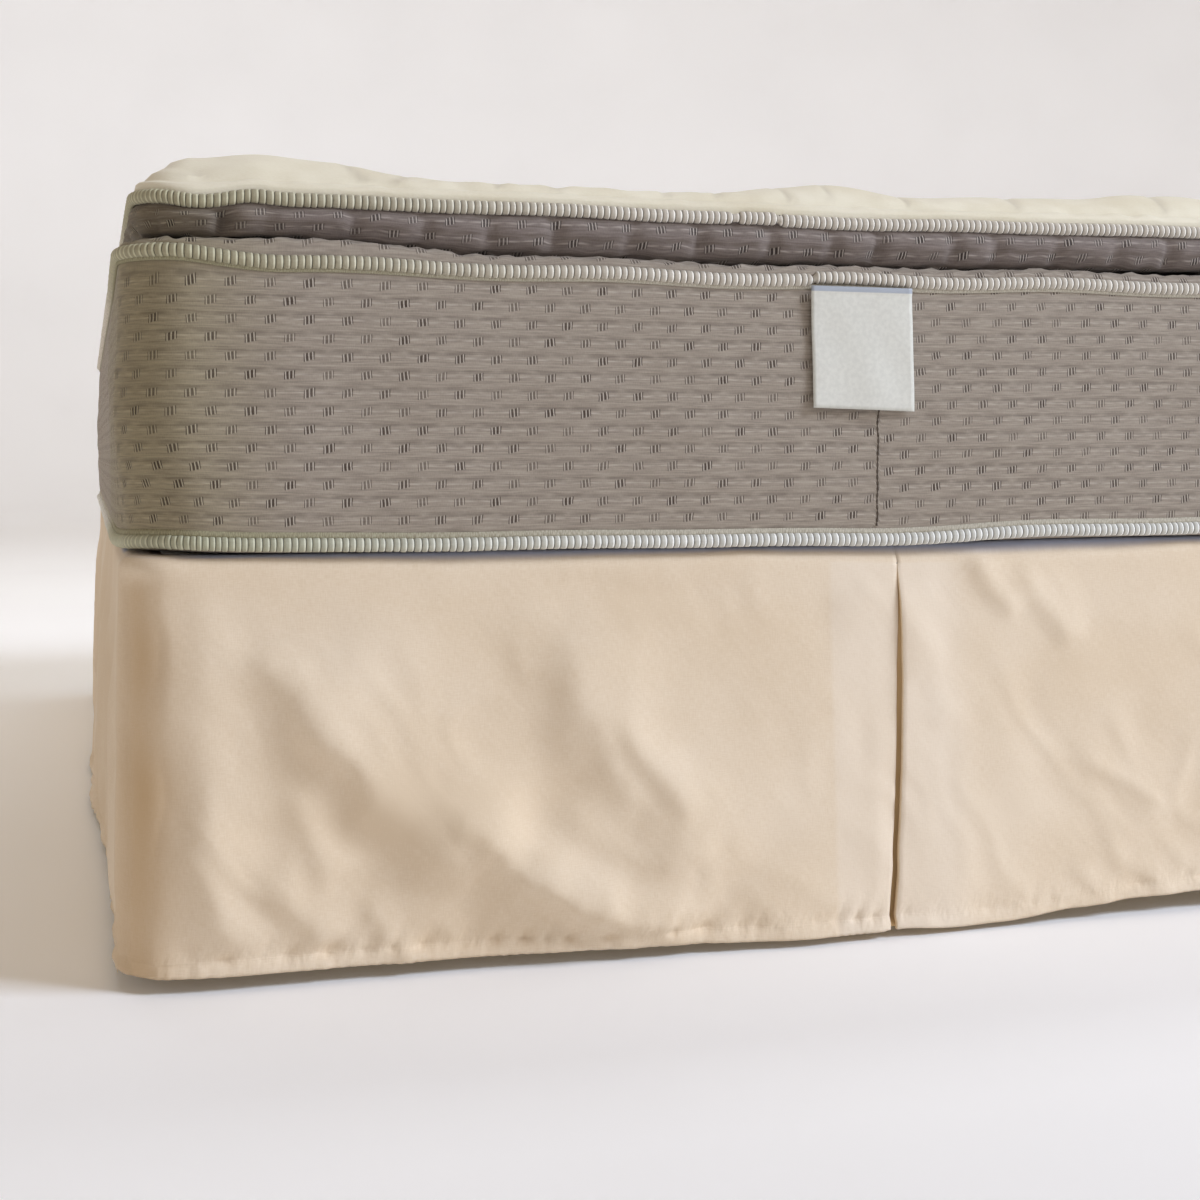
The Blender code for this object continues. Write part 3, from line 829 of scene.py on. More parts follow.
def add_surface(name: str, points: Array, cloth: Array, finish: Material,
                closed: bool = False, shown: Array | None = None) -> Piece:
    """Make a mesh from a grid of points.

    Args:
        name: Name of the object.
        points: Rows by columns by 3.
        cloth: Cloth coordinates, rows by columns by 2, with one more column where the grid is closed.
        finish: Its material.
        closed: True if the last column joins the first.
        shown: Rows by columns, False for points that are left out.

    Returns:
        The new object, smooth shaded.
    """
    rows, columns = points.shape[:2]
    number = np.arange(rows * columns).reshape(rows, columns)
    after = np.roll(number, -1, axis=1) if closed else number[:, 1:]
    here = number if closed else number[:, :-1]
    quads = np.stack([here[:-1], after[:-1], after[1:], here[1:]], axis=-1).reshape(-1, 4)
    width = here.shape[1]
    tags = np.stack([cloth[:-1, :width], cloth[:-1, 1:width + 1], cloth[1:, 1:width + 1], cloth[1:, :width]],
                    axis=2).reshape(-1, 4, 2)
    spots = points.reshape(-1, 3)
    if shown is not None:
        kept = shown.reshape(-1)
        whole = kept[quads].all(axis=1)
        quads, tags = quads[whole], tags[whole]
        renumber = np.cumsum(kept) - 1
        quads, spots = renumber[quads], spots[kept]
    mesh = bpy.data.meshes.new(name)
    mesh.from_pydata(spots.tolist(), [], quads.tolist())
    layer = mesh.uv_layers.new(name=CLOTH_MAP)
    layer.data.foreach_set("uv", tags.astype(np.float32).ravel())
    mesh.materials.append(finish)
    mesh.shade_smooth()
    obj = bpy.data.objects.new(name, mesh)
    bpy.context.scene.collection.objects.link(obj)
    return obj


def write_back(bm: bmesh.types.BMesh, obj: Piece) -> None:
    """Turn every face outwards and give the edited mesh back to its object.

    Args:
        bm: The edited mesh; it is freed.
        obj: The object that it belongs to.
    """
    bmesh.ops.recalc_face_normals(bm, faces=bm.faces[:])
    bm.to_mesh(obj.data)
    bm.free()
    obj.data.shade_smooth()


def weld(obj: Piece, distance: float = 0.02 * MM) -> None:
    """Merge points that coincide and turn every face outwards.

    Args:
        obj: The piece.
        distance: How near two points lie that count as one.
    """
    bm = bmesh.new()
    bm.from_mesh(obj.data)
    bmesh.ops.remove_doubles(bm, verts=bm.verts[:], dist=distance)
    write_back(bm, obj)


def close_ends(obj: Piece, rings: int) -> None:
    """Close the flat hidden ends of a block that is lofted through so many rings.

    Args:
        obj: The block.
        rings: Number of its rings.
    """
    bm = bmesh.new()
    bm.from_mesh(obj.data)
    bm.verts.ensure_lookup_table()
    count = len(bm.verts) // rings
    bm.faces.new([bm.verts[k] for k in reversed(range(count))])
    bm.faces.new([bm.verts[(rings - 1) * count + k] for k in range(count)])
    write_back(bm, obj)


def thicken(obj: Piece, thickness: float) -> None:
    """Give a sheet an even thickness about its middle.

    Args:
        obj: The sheet.
        thickness: Its thickness.
    """
    modifier = obj.modifiers.new("cloth", "SOLIDIFY")
    modifier.thickness = thickness
    modifier.offset = 0.0


@dataclass
class Outline:
    """A rounded rectangle in plan, walked from the head end down the left side and round the foot."""

    half_x: float
    half_y: float
    radius: float
    foot_steps: int
    side_steps: int
    corner_steps: int
    run_x: Array = field(init=False)  # place in plan as a share of the straight runs' half lengths
    run_y: Array = field(init=False)
    out_x: Array = field(init=False)  # outward direction
    out_y: Array = field(init=False)
    along: Array = field(init=False)  # length walked, with the closing point as one more entry

    def __post_init__(self) -> None:
        """Work out the walk."""
        side = np.arange(self.side_steps) / self.side_steps
        foot = np.arange(self.foot_steps) / self.foot_steps
        bend = np.arange(self.corner_steps) / self.corner_steps * math.pi / 2
        runs = []
        walks = ((side, (-1, -1)), (foot, (1, -1)), (side, (1, 1)), (foot, (-1, 1)))
        for turn, (steps, (corner_x, corner_y)) in enumerate(walks):
            heading = -math.pi / 2 + turn * math.pi / 2
            outward = heading - math.pi / 2
            step_x, step_y = 2 * round(math.cos(heading)), 2 * round(math.sin(heading))
            runs.append(grid(corner_x - step_x + steps * step_x, corner_y - step_y + steps * step_y,
                             math.cos(outward), math.sin(outward)).T)
            runs.append(grid(corner_x, corner_y, np.cos(outward + bend), np.sin(outward + bend)).T)
        self.run_x, self.run_y, self.out_x, self.out_y = np.concatenate(runs, axis=1)
        self.along = walked(*(np.append(values, values[0]) for values in self.ring(0.0)))

    def ring(self, inset: float | Array) -> tuple[Array, Array]:
        """Points of the outline moved inwards.

        Args:
            inset: How far, for all points or for each.

        Returns:
            x and y of the points.
        """
        radius = np.maximum(self.radius - inset, 0.0)
        x = self.run_x * (self.half_x - inset - radius) + self.out_x * radius
        y = self.run_y * (self.half_y - inset - radius) + self.out_y * radius
        return x, y


def profile(points: tuple[tuple[float, float], ...], spacing: float) -> Array:
    """Divide a section's polyline.

    Args:
        points: Its (inset, z) corners.
        spacing: The furthest apart that two points may lie.

    Returns:
        Points along it, one row each.
    """
    path = [points[0]]
    for start, end in zip(points, points[1:]):
        count = max(1, math.ceil(math.dist(start, end) / spacing))
        path += [(start[0] + (end[0] - start[0]) * k / count, start[1] + (end[1] - start[1]) * k / count)
                 for k in range(1, count + 1)]
    return np.array(path)


# ---------------- the skirt

@dataclass(frozen=True)
class Fold:
    """A soft crest in hanging cloth, along a line through three points (u, z)."""

    start: tuple[float, float]
    middle: tuple[float, float]
    end: tuple[float, float]
    rise: float
    left: float
    right: float

    FADE_IN = 0.30
    FADE_OUT = 0.15
    STEPS = 12
    BLEND = 0.006  # how gently one part of the line takes over from the next

    def line(self) -> Array:
        """Points along the crest."""
        t = np.linspace(0.0, 1.0, self.STEPS + 1)[:, None]
        return ((1 - t) * (1 - 2 * t) * np.array(self.start) + 4 * t * (1 - t) * np.array(self.middle)
                + t * (2 * t - 1) * np.array(self.end))

    def lift(self, u: Array, z: Array) -> Array:
        """How far the crest lifts the cloth.

        Args:
            u: Places along the drop.
            z: Heights.

        Returns:
            The lift at each place, in metres.
        """
        line = self.line()
        distances, lifts = [], []
        for k, (a, b) in enumerate(zip(line, line[1:])):
            step = b - a
            share = np.clip(((u - a[0]) * step[0] + (z - a[1]) * step[1]) / (step @ step), 0.0, 1.0)
            off_u, off_z = u - a[0] - step[0] * share, z - a[1] - step[1] * share
            distance = np.hypot(off_u, off_z)
            spread = np.where(off_u * step[1] - off_z * step[0] > 0, self.left, self.right)
            along = (k + share) / self.STEPS
            ends = ease(along / self.FADE_IN) * ease((1 - along) / self.FADE_OUT)
            distances.append(distance)
            lifts.append(np.exp(-(distance / spread) ** 2) * ends)
        nearest = np.min(distances, axis=0)
        weights = [np.exp((nearest - distance) / self.BLEND) for distance in distances]
        return self.rise * sum(w * v for w, v in zip(weights, lifts)) / sum(weights)

    def mirrored(self) -> "Fold":
        """The same crest seen in a mirror."""
        turned = [(-u, z) for u, z in (self.start, self.middle, self.end)]
        return Fold(*turned, self.rise, self.right, self.left)


def read_folds(rows: tuple[tuple[float, ...], ...]) -> tuple[Fold, ...]:
    """Folds from rows in mm: u and z of the start, the middle and the end, rise, reach to left and right."""
    return tuple(Fold(*(tuple(row[k:k + 2]) for k in (0, 2, 4)), *row[6:]) for row in MM * np.array(rows))


# The tables are in millimetres.
FOOT_FOLDS = read_folds((
    (-693, 354, -684, 211, -666, 32, 7, 40, 50), (-716, 201, -664, 119, -599, 73, 3.4, 9, 36),
    (-624, 322, -538, 196, -424, 82, 18, 38, 88), (-478, 182, -364, 76, -200, 14, 16.5, 18, 46),
    (-490, 170, -395, 80, -215, 12, 9, 54, 50), (-412, 82, -392, 52, -362, 18, 3.2, 9, 16),
    (-350, 56, -328, 36, -300, 14, 3.4, 9, 16), (-646, 318, -611, 261, -557, 205, 8, 20, 30),
    (-571, 228, -546, 189, -533, 136, 4.5, 14, 22), (-342, 344, -314, 214, -170, 57, 16, 36, 72),
    (-352, 164, -307, 115, -220, 76, 7.5, 22, 34), (-304, 244, -260, 180, -218, 126, 6.6, 13, 28),
    (-695, 175, -676, 88, -642, 25, 6.5, 20, 28), (-632, 111, -605, 74, -570, 30, 7.8, 14, 36),
    (-604, 194, -593, 139, -566, 83, 6.5, 14, 24), (-80, 326, -50, 334, -18, 356, 2.6, 26, 20),
    (-541, 78, -519, 50, -492, 14, 5, 12, 20), (-391, 109, -352, 69, -300, 26, 5.5, 16, 24),
    (-391, 353, -272, 351, -147, 354, -2, 18, 14), (8, 345, 40, 274, 62, 205, 3.2, 20, 22),
    (74, 396, 106, 354, 142, 312, 6.4, 16, 24), (140, 372, 172, 328, 204, 280, 4.8, 15, 24),
    (202, 182, 250, 145, 322, 102, 3, 15, 24), (312, 115, 263, 86, 202, 57, 2, 12, 14),
    (196, 61, 220, 37, 248, 11, 3.2, 10, 16), (238, 77, 275, 50, 318, 13, 3, 10, 16),
    (560, 340, 500, 190, 395, 40, 8.5, 50, 30), (655, 330, 612, 180, 530, 30, 7, 40, 28),
    (704, 360, 706, 200, 704, 20, 5.5, 50, 30),
))
SIDE_FOLDS = read_folds((
    (-930, 345, -865, 190, -740, 30, 10, 36, 60), (-700, 335, -660, 205, -575, 85, 8, 34, 44),
    (-520, 350, -435, 200, -290, 35, 12, 36, 62), (-300, 305, -255, 215, -180, 120, 6.5, 34, 44),
    (150, 372, 230, 285, 330, 190, 7, 34, 40), (330, 335, 425, 170, 560, 30, 12, 40, 60),
    (620, 345, 665, 205, 745, 55, 9, 36, 52), (800, 310, 850, 165, 905, 30, 8, 36, 48),
))
# Sharp pressed or caught creases, finer than the soft folds.
FOOT_CREASES = read_folds((
    (-720, 212, -655, 122, -598, 74, -1.4, 4.5, 3.5), (220, 160, 262, 138, 308, 112, 1.8, 5.5, 6),
    (308, 112, 258, 89, 212, 67, 1.6, 5.5, 6), (-680, 252, -664, 236, -650, 222, -0.5, 3.5, 3),
    (-232, 172, -218, 158, -206, 140, -1.1, 6, 6),
))
FOOT_HEM = MM * np.array([
    # u, flare, height
    (-790, 0, 14.5), (-600, 0, 13.5), (-450, 1, 13), (-300, 6, 12), (-100, 23, 7.8), (-30, 21, 7.7),
    (0, 14, 8.8), (60, 20, 5.7), (110, 18, 6.3), (200, 13, 12.8), (280, 11, 17.4), (400, 13, 20.3),
    (600, 10, 16.5), (790, 0, 14.5),
])
SIDE_HEM = MM * np.array([
    # u, flare, height
    (-1000, 0, 13.5), (-600, 1, 13), (-380, 7, 12), (-120, 20, 9), (0, 13, 9.5), (120, 20, 8.5),
    (380, 7, 12), (600, 0, 13.5), (1000, 0, 14),
])
FOOT_SLIT = MM * np.array([
    # z, left edge, right edge
    (0, -14.5, -8.5), (31, -12.5, -6.7), (80, -8.5, -3), (128, -4.5, 0.4), (176, -2, 3), (225, 0, 4.8),
    (272, 1.5, 6), (300, 2.2, 5.5), (326, 2.8, 4.6), (350, 3.4, 4), (380, 3.2, 3.2),
])
SIDE_SLIT = MM * np.array([
    # z, left edge, right edge
    (0, -6, 5), (200, -3, 3), (380, 0, 0),
])
# How far the rolled edge sags below the mattress, along the foot and along a side.
FOOT_SAG = MM * np.array([
    # u, sag
    (-760, 0), (-640, 1), (-560, 3), (-450, 6.2), (-380, 6), (-300, 4.6), (-215, 3.6), (-165, 2),
    (-100, 4.6), (20, 7.5), (120, 8.8), (240, 6), (355, 1.2), (520, 3.5), (760, 0),
])
SIDE_SAG = MM * np.array([
    # u, sag
    (-1000, 1), (-600, 4), (-200, 2.5), (200, 5), (650, 3), (1000, 1),
])


@dataclass
class HangingDrop:
    """One drop of the skirt: it lies under the mattress, rolls over the edge and hangs to a hem.

    Its own frame has u along the bed from left to right as seen from outside, -Y outwards and z up.
    """

    name: str
    node: str
    straight: float  # from the pleat to the corner, or to the open end
    corner: float  # radius in plan at the foot corners, or 0
    place: tuple[float, float]
    turn: float
    folds: tuple[Fold, ...]
    creases: tuple[Fold, ...]
    hem: Array
    slit: Array
    sag: Array
    seed: int
    spacing: float = 0.0052  # between columns
    row_spacing: float = 0.0055
    arc_steps: int = 22  # columns round a corner
    back_steps: int = 8  # columns of each folded layer
    roll_steps: int = 7  # rows over the edge
    thickness: float = 0.0008
    roll: float = 0.012
    return_depth: float = 0.025
    top: float = 0.37995
    under_start: float = 0.004  # inset from which the cloth lies under the mattress
    follow: float = 0.0  # how far the return follows the mattress where that lifts
    hem_height: float = 0.013
    hem_band: float = 0.0125  # depth of the double hem
    standoff: float = 0.0048  # nearest that the cloth comes to its plane, behind it
    pleat_depth: float = 0.0705
    layer_step: float = 0.0016
    swell_left: float = 0.0008  # how far each flap stands out at the slit
    swell_right: float = 0.0052
    swell_span: float = 0.065
    underlay: float = 0.012  # how far the pleat's back layer hangs behind at the hem
    rumple: float = 0.0018  # height of the small rumples of handling
    wander: float = 0.0034  # how far the folds stray from their smooth lines
    corner_lip: float = 0.004
    corner_middle: float = 0.039  # where the cloth is drawn in round the corner
    corner_tuck: float = 0.0125
    corner_before: float = 0.022  # how wide that is towards the pleat,
    corner_after: float = 0.012  # and towards the free edge
    corner_stray: float = 0.0035  # how far the drawn-in place wanders from upright
    corner_dip: float = 0.0042  # where the bend begins, the cloth lies nearer to the box
    corner_room: float = 0.009  # the box spring's own corner leaves this much more room
    corner_curl: float = 0.0035  # how far the free edge turns outwards
    corner_round: float = 0.012  # how far the hem rises at the free edge
    foot_side: float = 0.0  # which end of a side drop meets the foot drop, -1 or 1
    end_span: float = 0.030  # that end is tucked in and lowered over this length
    end_tuck: float = 0.0014
    end_fall: float = 0.0016
    flare_power: float = 1.3
    pucker: float = 3.6 * MM  # depth of the hem's single puckers
    pucker_pitch: float = 0.030
    pucker_reach: float = 0.014  # how far they run up from the stitches
    pucker_lean: float = 0.60
    drawn_in: float = 3.4 * MM  # depth to which the stitches draw the cloth in between them
    hem_kick: float = 2.4 * MM  # how far the doubled hem stands out
    hem_ripple: float = 0.7 * MM
    ripple_pitch: float = 0.0115
    groove: float = 0.10 * MM

    @property
    def end(self) -> float:
        """Length from the slit to the drop's free edge."""
        return self.straight + (self.corner * math.pi / 2 + self.corner_lip if self.corner else 0.0)

    def columns(self) -> Array:
        """Divide the drop from left to right, with the pleat's two folded layers on each side of the slit.

        Returns:
            Side of the slit, reach from it and depth behind the face, one row a column.
        """
        turn = self.layer_step / 2
        count = round((self.straight - turn) / self.spacing)
        reach = list(np.linspace(turn, self.straight, count + 1))
        if self.corner:
            arc = self.corner * math.pi / 2
            reach += list(self.straight + arc * np.arange(1, self.arc_steps + 1) / self.arc_steps)
            reach += [self.straight + arc + self.corner_lip * k / 2 for k in (1, 2)]
        half = [(r, 0.0) for r in reversed(reach)]
        bend = np.radians([45, 90, 135])
        half += [(turn - turn * math.sin(a), turn - turn * math.cos(a)) for a in bend]
        back = np.linspace(turn, self.pleat_depth - turn, self.back_steps)
        half += [(r, self.layer_step) for r in back]
        half += [(self.pleat_depth - turn + turn * math.sin(a), self.layer_step + turn - turn * math.cos(a))
                 for a in bend]
        half += [(r, 2 * self.layer_step) for r in back[::-1]]
        left = [(-1.0, r, d) for r, d in half]
        right = [(1.0, r, d) for r, d in reversed(half)]
        return np.array(left + right)

    def rows(self) -> Array:
        """Divide the drop from top to bottom: its return, the roll over the edge, the fall and the hem.

        Returns:
            Inset, lift, share of the fall and share of the fold field, one row each.
        """
        rows = [(self.roll + self.return_depth * k, self.roll, 0.0, 0.0) for k in (1.0, 0.5)]
        for k in range(self.roll_steps):
            angle = math.pi / 2 * (1 - k / self.roll_steps)
            rows.append((self.roll * (1 - math.cos(angle)), self.roll * math.sin(angle), 0.0,
                         k / self.roll_steps))
        fall = self.top - self.hem_height
        band = self.hem_band / fall
        above = np.linspace(0.0, 1 - band - 0.012 / fall, round((1 - band) * fall / self.row_spacing))
        # Rows lie closest at the hem's stitches; these are millimetres below them.
        stitch = 1 - band + np.array([-9, -6, -3.5, -1.6, -0.7, 0.0, 0.7, 1.6, 3.5, 6.5, 9.5]) * MM / fall
        shares = np.concatenate([above, stitch, [1.0]])
        return np.array(rows + [(0.0, 0.0, share, 1.0) for share in shares])

    def hem_detail(self, u: Array, drop: Array) -> Array:
        """Puckers above the stitch line and the kick of the doubled hem.

        Args:
            u: Places along the drop.
            drop: Height above the hem's lower edge.

        Returns:
            How far the cloth stands out.
        """
        above = drop - self.hem_band
        drift = 0.45 * noise(u, u * 0, self.seed + 1, 0.20, 0.06)
        lean = u - self.pucker_lean * np.maximum(above, 0.0)
        pleats = 0.5 + 0.5 * np.cos(math.tau * (lean / self.pucker_pitch + drift))
        vigour = np.clip(0.55 + 0.85 * noise(u, u * 0, self.seed + 2, 0.30, 0.07), 0.10, 1.5)
        drawn = np.clip(0.55 + 0.75 * noise(u, u * 0, self.seed + 3, 0.22, 0.045), 0.0, 1.3)
        height = np.maximum(above, 0.0) / self.pucker_reach
        pucker = -self.pucker * pleats ** 2.5 * vigour * np.exp(-height ** 1.4)
        pucker -= self.drawn_in * drawn * np.exp(-height ** 1.5)
        pucker *= ease((above + 0.0080) / 0.0110)
        band = ease(-above / 0.004)
        kick = self.hem_kick * ease(-above / self.hem_band)
        ripple = self.hem_ripple * band * vigour * np.sin(math.tau * (u / self.ripple_pitch + 2.3 * drift))
        return pucker + kick + ripple - self.groove * np.exp(-(above / 0.0012) ** 2)

    def stray(self, z: Array) -> Array:
        """How a foot corner's drawn-in place wanders with height, about -1 to 1."""
        return noise(z, z * 0, self.seed + 13, 0.34, 0.09)

    def at_foot_end(self, u: Array) -> Array:
        """1 where a side drop meets the foot drop, easing to 0 over the end span."""
        return ease(1 - (self.straight - u * self.foot_side) / self.end_span)

    def rise(self, side: Array, u: Array, z: Array, drop: Array) -> Array:
        """How far the cloth stands out from its plane.

        Args:
            side: Which side of the slit, -1 or 1.
            u: Places along the drop.
            z: Heights.
            drop: Heights above the hem's lower edge.

        Returns:
            The distance outwards, in metres.
        """
        fall = np.clip((self.top - z) / (self.top - self.hem_height), 0.0, 1.0)
        out = read_table(self.hem[:, 0], self.hem[:, 1], u) * fall ** self.flare_power
        near = self.standoff
        swell = np.where(side < 0, self.swell_left, self.swell_right)
        out = out + swell * ease((self.top - z) / 0.05) * ease(1 - np.abs(u) / self.swell_span)
        bent_u = u + self.wander * noise(u, z, self.seed + 11, 0.22, 0.060)
        bent_z = z + self.wander * noise(u, z, self.seed + 12, 0.22, 0.060)
        for fold in (*self.folds, *self.creases):
            out = out + fold.lift(bent_u, bent_z)
        bent = u + 0.3 * z + 0.012 * noise(u, z, self.seed + 7, 0.20, 0.08)
        ridges = np.abs(noise(bent, z * 0.55, self.seed, 0.26, 0.055, waves=26))
        out = out + self.rumple * fall ** 0.4 * (1.3 - np.sqrt(ridges * ridges + 0.03))
        if self.corner:
            turned = np.abs(u) - self.straight
            stray = self.stray(z)
            reach = turned - self.corner_middle - self.corner_stray * stray
            width = np.where(reach < 0, self.corner_before, self.corner_after)
            tuck = np.exp(-(reach / width) ** 2) * (1 - 0.22 * stray) * ease((self.top + 0.004 - z) / 0.022)
            dip = np.exp(-((turned - 0.004) / 0.022) ** 2) * ease((self.top + 0.004 - z) / 0.03)
            out = out - self.corner_dip * dip - self.corner_tuck * tuck
            out = out + self.corner_curl * ease((np.abs(u) - self.end) / 0.022 + 1.0) * (0.5 + 0.5 * fall)
            near = near + self.corner_room * tuck
        if self.foot_side:
            out = out - self.end_tuck * self.at_foot_end(u)
        return np.maximum(out, -near) + self.hem_detail(u, drop)

    def build(self, finish: Material) -> Piece:
        """Build the drop and hang it in its place.

        Args:
            finish: The cloth's material.

        Returns:
            The drop.
        """
        columns, rows = self.columns(), self.rows()
        side, reach, depth = (columns[None, :, k] for k in range(3))
        inset, lift, share, hold = (rows[:, k, None] for k in range(4))
        edge_z = self.top + (self.hem_height - self.top) * share
        edge = np.where(side < 0, read_table(self.slit[:, 0], self.slit[:, 1], edge_z),
                        read_table(self.slit[:, 0], self.slit[:, 2], edge_z))
        u = side * np.where(hold < 1, np.maximum(reach - self.layer_step / 2, 0.0), reach)
        u = u + edge * np.maximum(0.0, 1 - reach / self.pleat_depth)
        bottom = read_table(self.hem[:, 0], self.hem[:, 2], u)
        if self.corner:
            bottom = bottom + self.corner_round * ease((np.abs(u) - self.end + 0.034) / 0.034) ** 2
        under = ease((inset - self.under_start) / 0.0040)
        sag = read_table(self.sag[:, 0], self.sag[:, 1], u) * (1 - under)
        lifted = ease((u + 0.08) / 0.38) * ease((self.straight - u) / 0.30)
        sag = sag - self.follow * under * lifted
        z = self.top - sag + (bottom - self.top + sag) * share
        behind = depth * (1 + (self.underlay / (2 * self.layer_step) - 1) * share ** 0.6)
        out = np.maximum(self.rise(side, u, z, z - bottom) - behind, -self.standoff - depth) * hold - inset
        z = z + lift
        if self.foot_side:
            z = z - self.end_fall * (1 - under) * self.at_foot_end(u)
        if self.corner:
            gape = 0.0008 * noise(z, z * 0, self.seed + 5, 0.05, 0.012)
            at_end = ease((reach - self.end + self.corner_lip) / self.corner_lip)
            u = u + side * at_end * gape
        x, y = self.plan(u, out)
        turn = (math.cos(self.turn), math.sin(self.turn))
        points = grid(self.place[0] + x * turn[0] - y * turn[1], self.place[1] + x * turn[1] + y * turn[0], z)
        flat = walked(columns[:, 0] * columns[:, 1], columns[:, 2])
        cloth = grid(flat[None, :], -(share * (self.top - self.hem_height) - lift))
        shown = np.broadcast_to(~((depth > 0) & (hold < 1)), u.shape)
        obj = add_surface(self.name, points, cloth, finish, shown=shown)
        # Painted highlight over the pleat, where more layers lie; it fades slowly to the right.
        soft = np.where(u < 0, 0.006, 0.050)
        pleat_highlight = ease((self.pleat_depth - np.abs(u)) / soft + 0.5) * (depth == 0) * (hold >= 1)
        drawn = np.exp(-np.abs(z - bottom - self.hem_band) / 0.011) * hold
        # Painted shade on the pleat's folded inner layers.
        pleat_shade = np.clip(depth / self.layer_step, 0.0, 1.0)
        # Painted bluish shade on the strip under the mattress, weaker near the free ends.
        clear = 1 - 0.8 * ease((np.abs(u) - self.end + 0.11) / 0.05)
        lining = ease((inset - self.under_start) / 0.0025) * clear
        # Painted shade where the cloth is drawn in round a foot corner, wandering with height.
        shaded = 0.0 * u
        if self.corner:
            stray = self.stray(z)
            off = np.abs(np.abs(u) - self.straight - self.corner_middle + 0.004 - self.corner_stray * stray)
            shaded = (0.54 - 0.10 * stray + 0.12 * share) * np.exp(-(off / (0.026 + 0.012 * share)) ** 2)
            shaded = shaded * hold * ease((self.top - z) / 0.022)
        for name, values in (("pleat_highlight", 0.35 * pleat_highlight), ("pleat_shade", pleat_shade), ("shaded", shaded),
                             ("lining", lining), ("hem", drawn)):
            paint(obj, name, np.broadcast_to(values, shown.shape)[shown])
        thicken(obj, self.thickness)
        finish_piece(obj, (self.node,))
        return obj

    def plan(self, u: Array, out: Array) -> tuple[Array, Array]:
        """Place in plan, in the drop's own frame.

        Args:
            u: Places along the drop.
            out: Distances outwards from its plane.

        Returns:
            x and y.
        """
        if not self.corner:
            return u, -out
        turned = np.maximum(np.abs(u) - self.straight, 0.0)
        angle = np.minimum(turned / self.corner, math.pi / 2)
        past = np.maximum(turned - self.corner * math.pi / 2, 0.0)
        radius = self.corner + out
        x = np.sign(u) * (self.straight + radius * np.sin(angle))
        y = self.corner - radius * np.cos(angle) + past
        return np.where(turned > 0, x, u), np.where(turned > 0, y, -out)


@dataclass
class BedSkirt:
    """The skirt: three drops round a deck that lies between box spring and mattress."""

    plane_x: float = 0.7545
    plane_y: float = 1.0095
    corner: float = 0.045
    lip: float = 0.004
    side_spacing: float = 0.0085  # between the columns and rows of a side drop
    overlap: float = 0.006  # the side drops slip this far under the ends of the foot drop
    head_end: float = 1.0
    deck_level: float = 0.39195
    deck_inset: float = 0.0373  # from the planes of the drops to the edge of the deck
    deck_thickness: float = 0.0008
    deck_hem: float = 0.006

    def build(self, cloth: Material, lining: Material) -> None:
        """Build the three drops and the deck.

        Args:
            cloth: Material of the drops.
            lining: Material of the deck.
        """
        straight = self.plane_x - self.corner
        HangingDrop("drop_foot", "skirt_foot", straight, self.corner, (0.0, -self.plane_y), 0.0, FOOT_FOLDS,
                    FOOT_CREASES, FOOT_HEM, FOOT_SLIT, FOOT_SAG, seed=11, follow=0.0030).build(cloth)
        foot_end = -self.plane_y + self.corner + self.lip - self.overlap
        half, middle = (self.head_end - foot_end) / 2, (self.head_end + foot_end) / 2
        mirrored = tuple(fold.mirrored() for fold in SIDE_FOLDS)
        for name, side, folds, seed in (("left", -1.0, SIDE_FOLDS, 23), ("right", 1.0, mirrored, 37)):
            HangingDrop("drop_" + name, "skirt_" + name, half, 0.0, (side * self.plane_x, middle),
                        side * math.pi / 2, folds, (), SIDE_HEM, SIDE_SLIT, SIDE_SAG, seed,
                        self.side_spacing, self.side_spacing, foot_side=-side).build(cloth)
        self.build_deck(lining)

    def build_deck(self, lining: Material) -> Piece:
        """The deck, with a narrow hem at the head end.

        Args:
            lining: Its material.

        Returns:
            The deck.
        """
        half_x = self.plane_x - self.deck_inset
        foot = -(self.plane_y - self.deck_inset)
        x = np.linspace(-half_x, half_x, 61)[None, :]
        hem = [self.head_end - self.deck_hem, self.head_end]
        y = np.append(np.linspace(foot, self.head_end - 2 * self.deck_hem, 80), hem)[:, None]
        ripple = 0.12 * MM * noise(x, y, 5, 0.30, 0.08)
        points = grid(x, y, self.deck_level + ripple)
        obj = add_surface("deck", points, points[..., :2], lining)
        thicken(obj, self.deck_thickness)
        finish_piece(obj, ("skirt_deck",))
        return obj


# ---------------- the mattress

# Height of the crown's foot edge over its even level: it has been slept on and sat on.
FOOT_LOFT = MM * np.array([
    # x, height
    (-760, 0), (-690, 7), (-625, 14), (-560, 7), (-486, -3), (-312, -8), (-204, -5), (-104, 6), (-53, 12),
    (36, 2), (191, 2), (360, 14), (500, 2), (620, 9), (760, 0),
])


@dataclass(frozen=True)
class Join:
    """A place where the binding's two ends meet: where it is, and how the far piece is shifted."""

    x: float
    shift: float
    gap: float = 0.0035


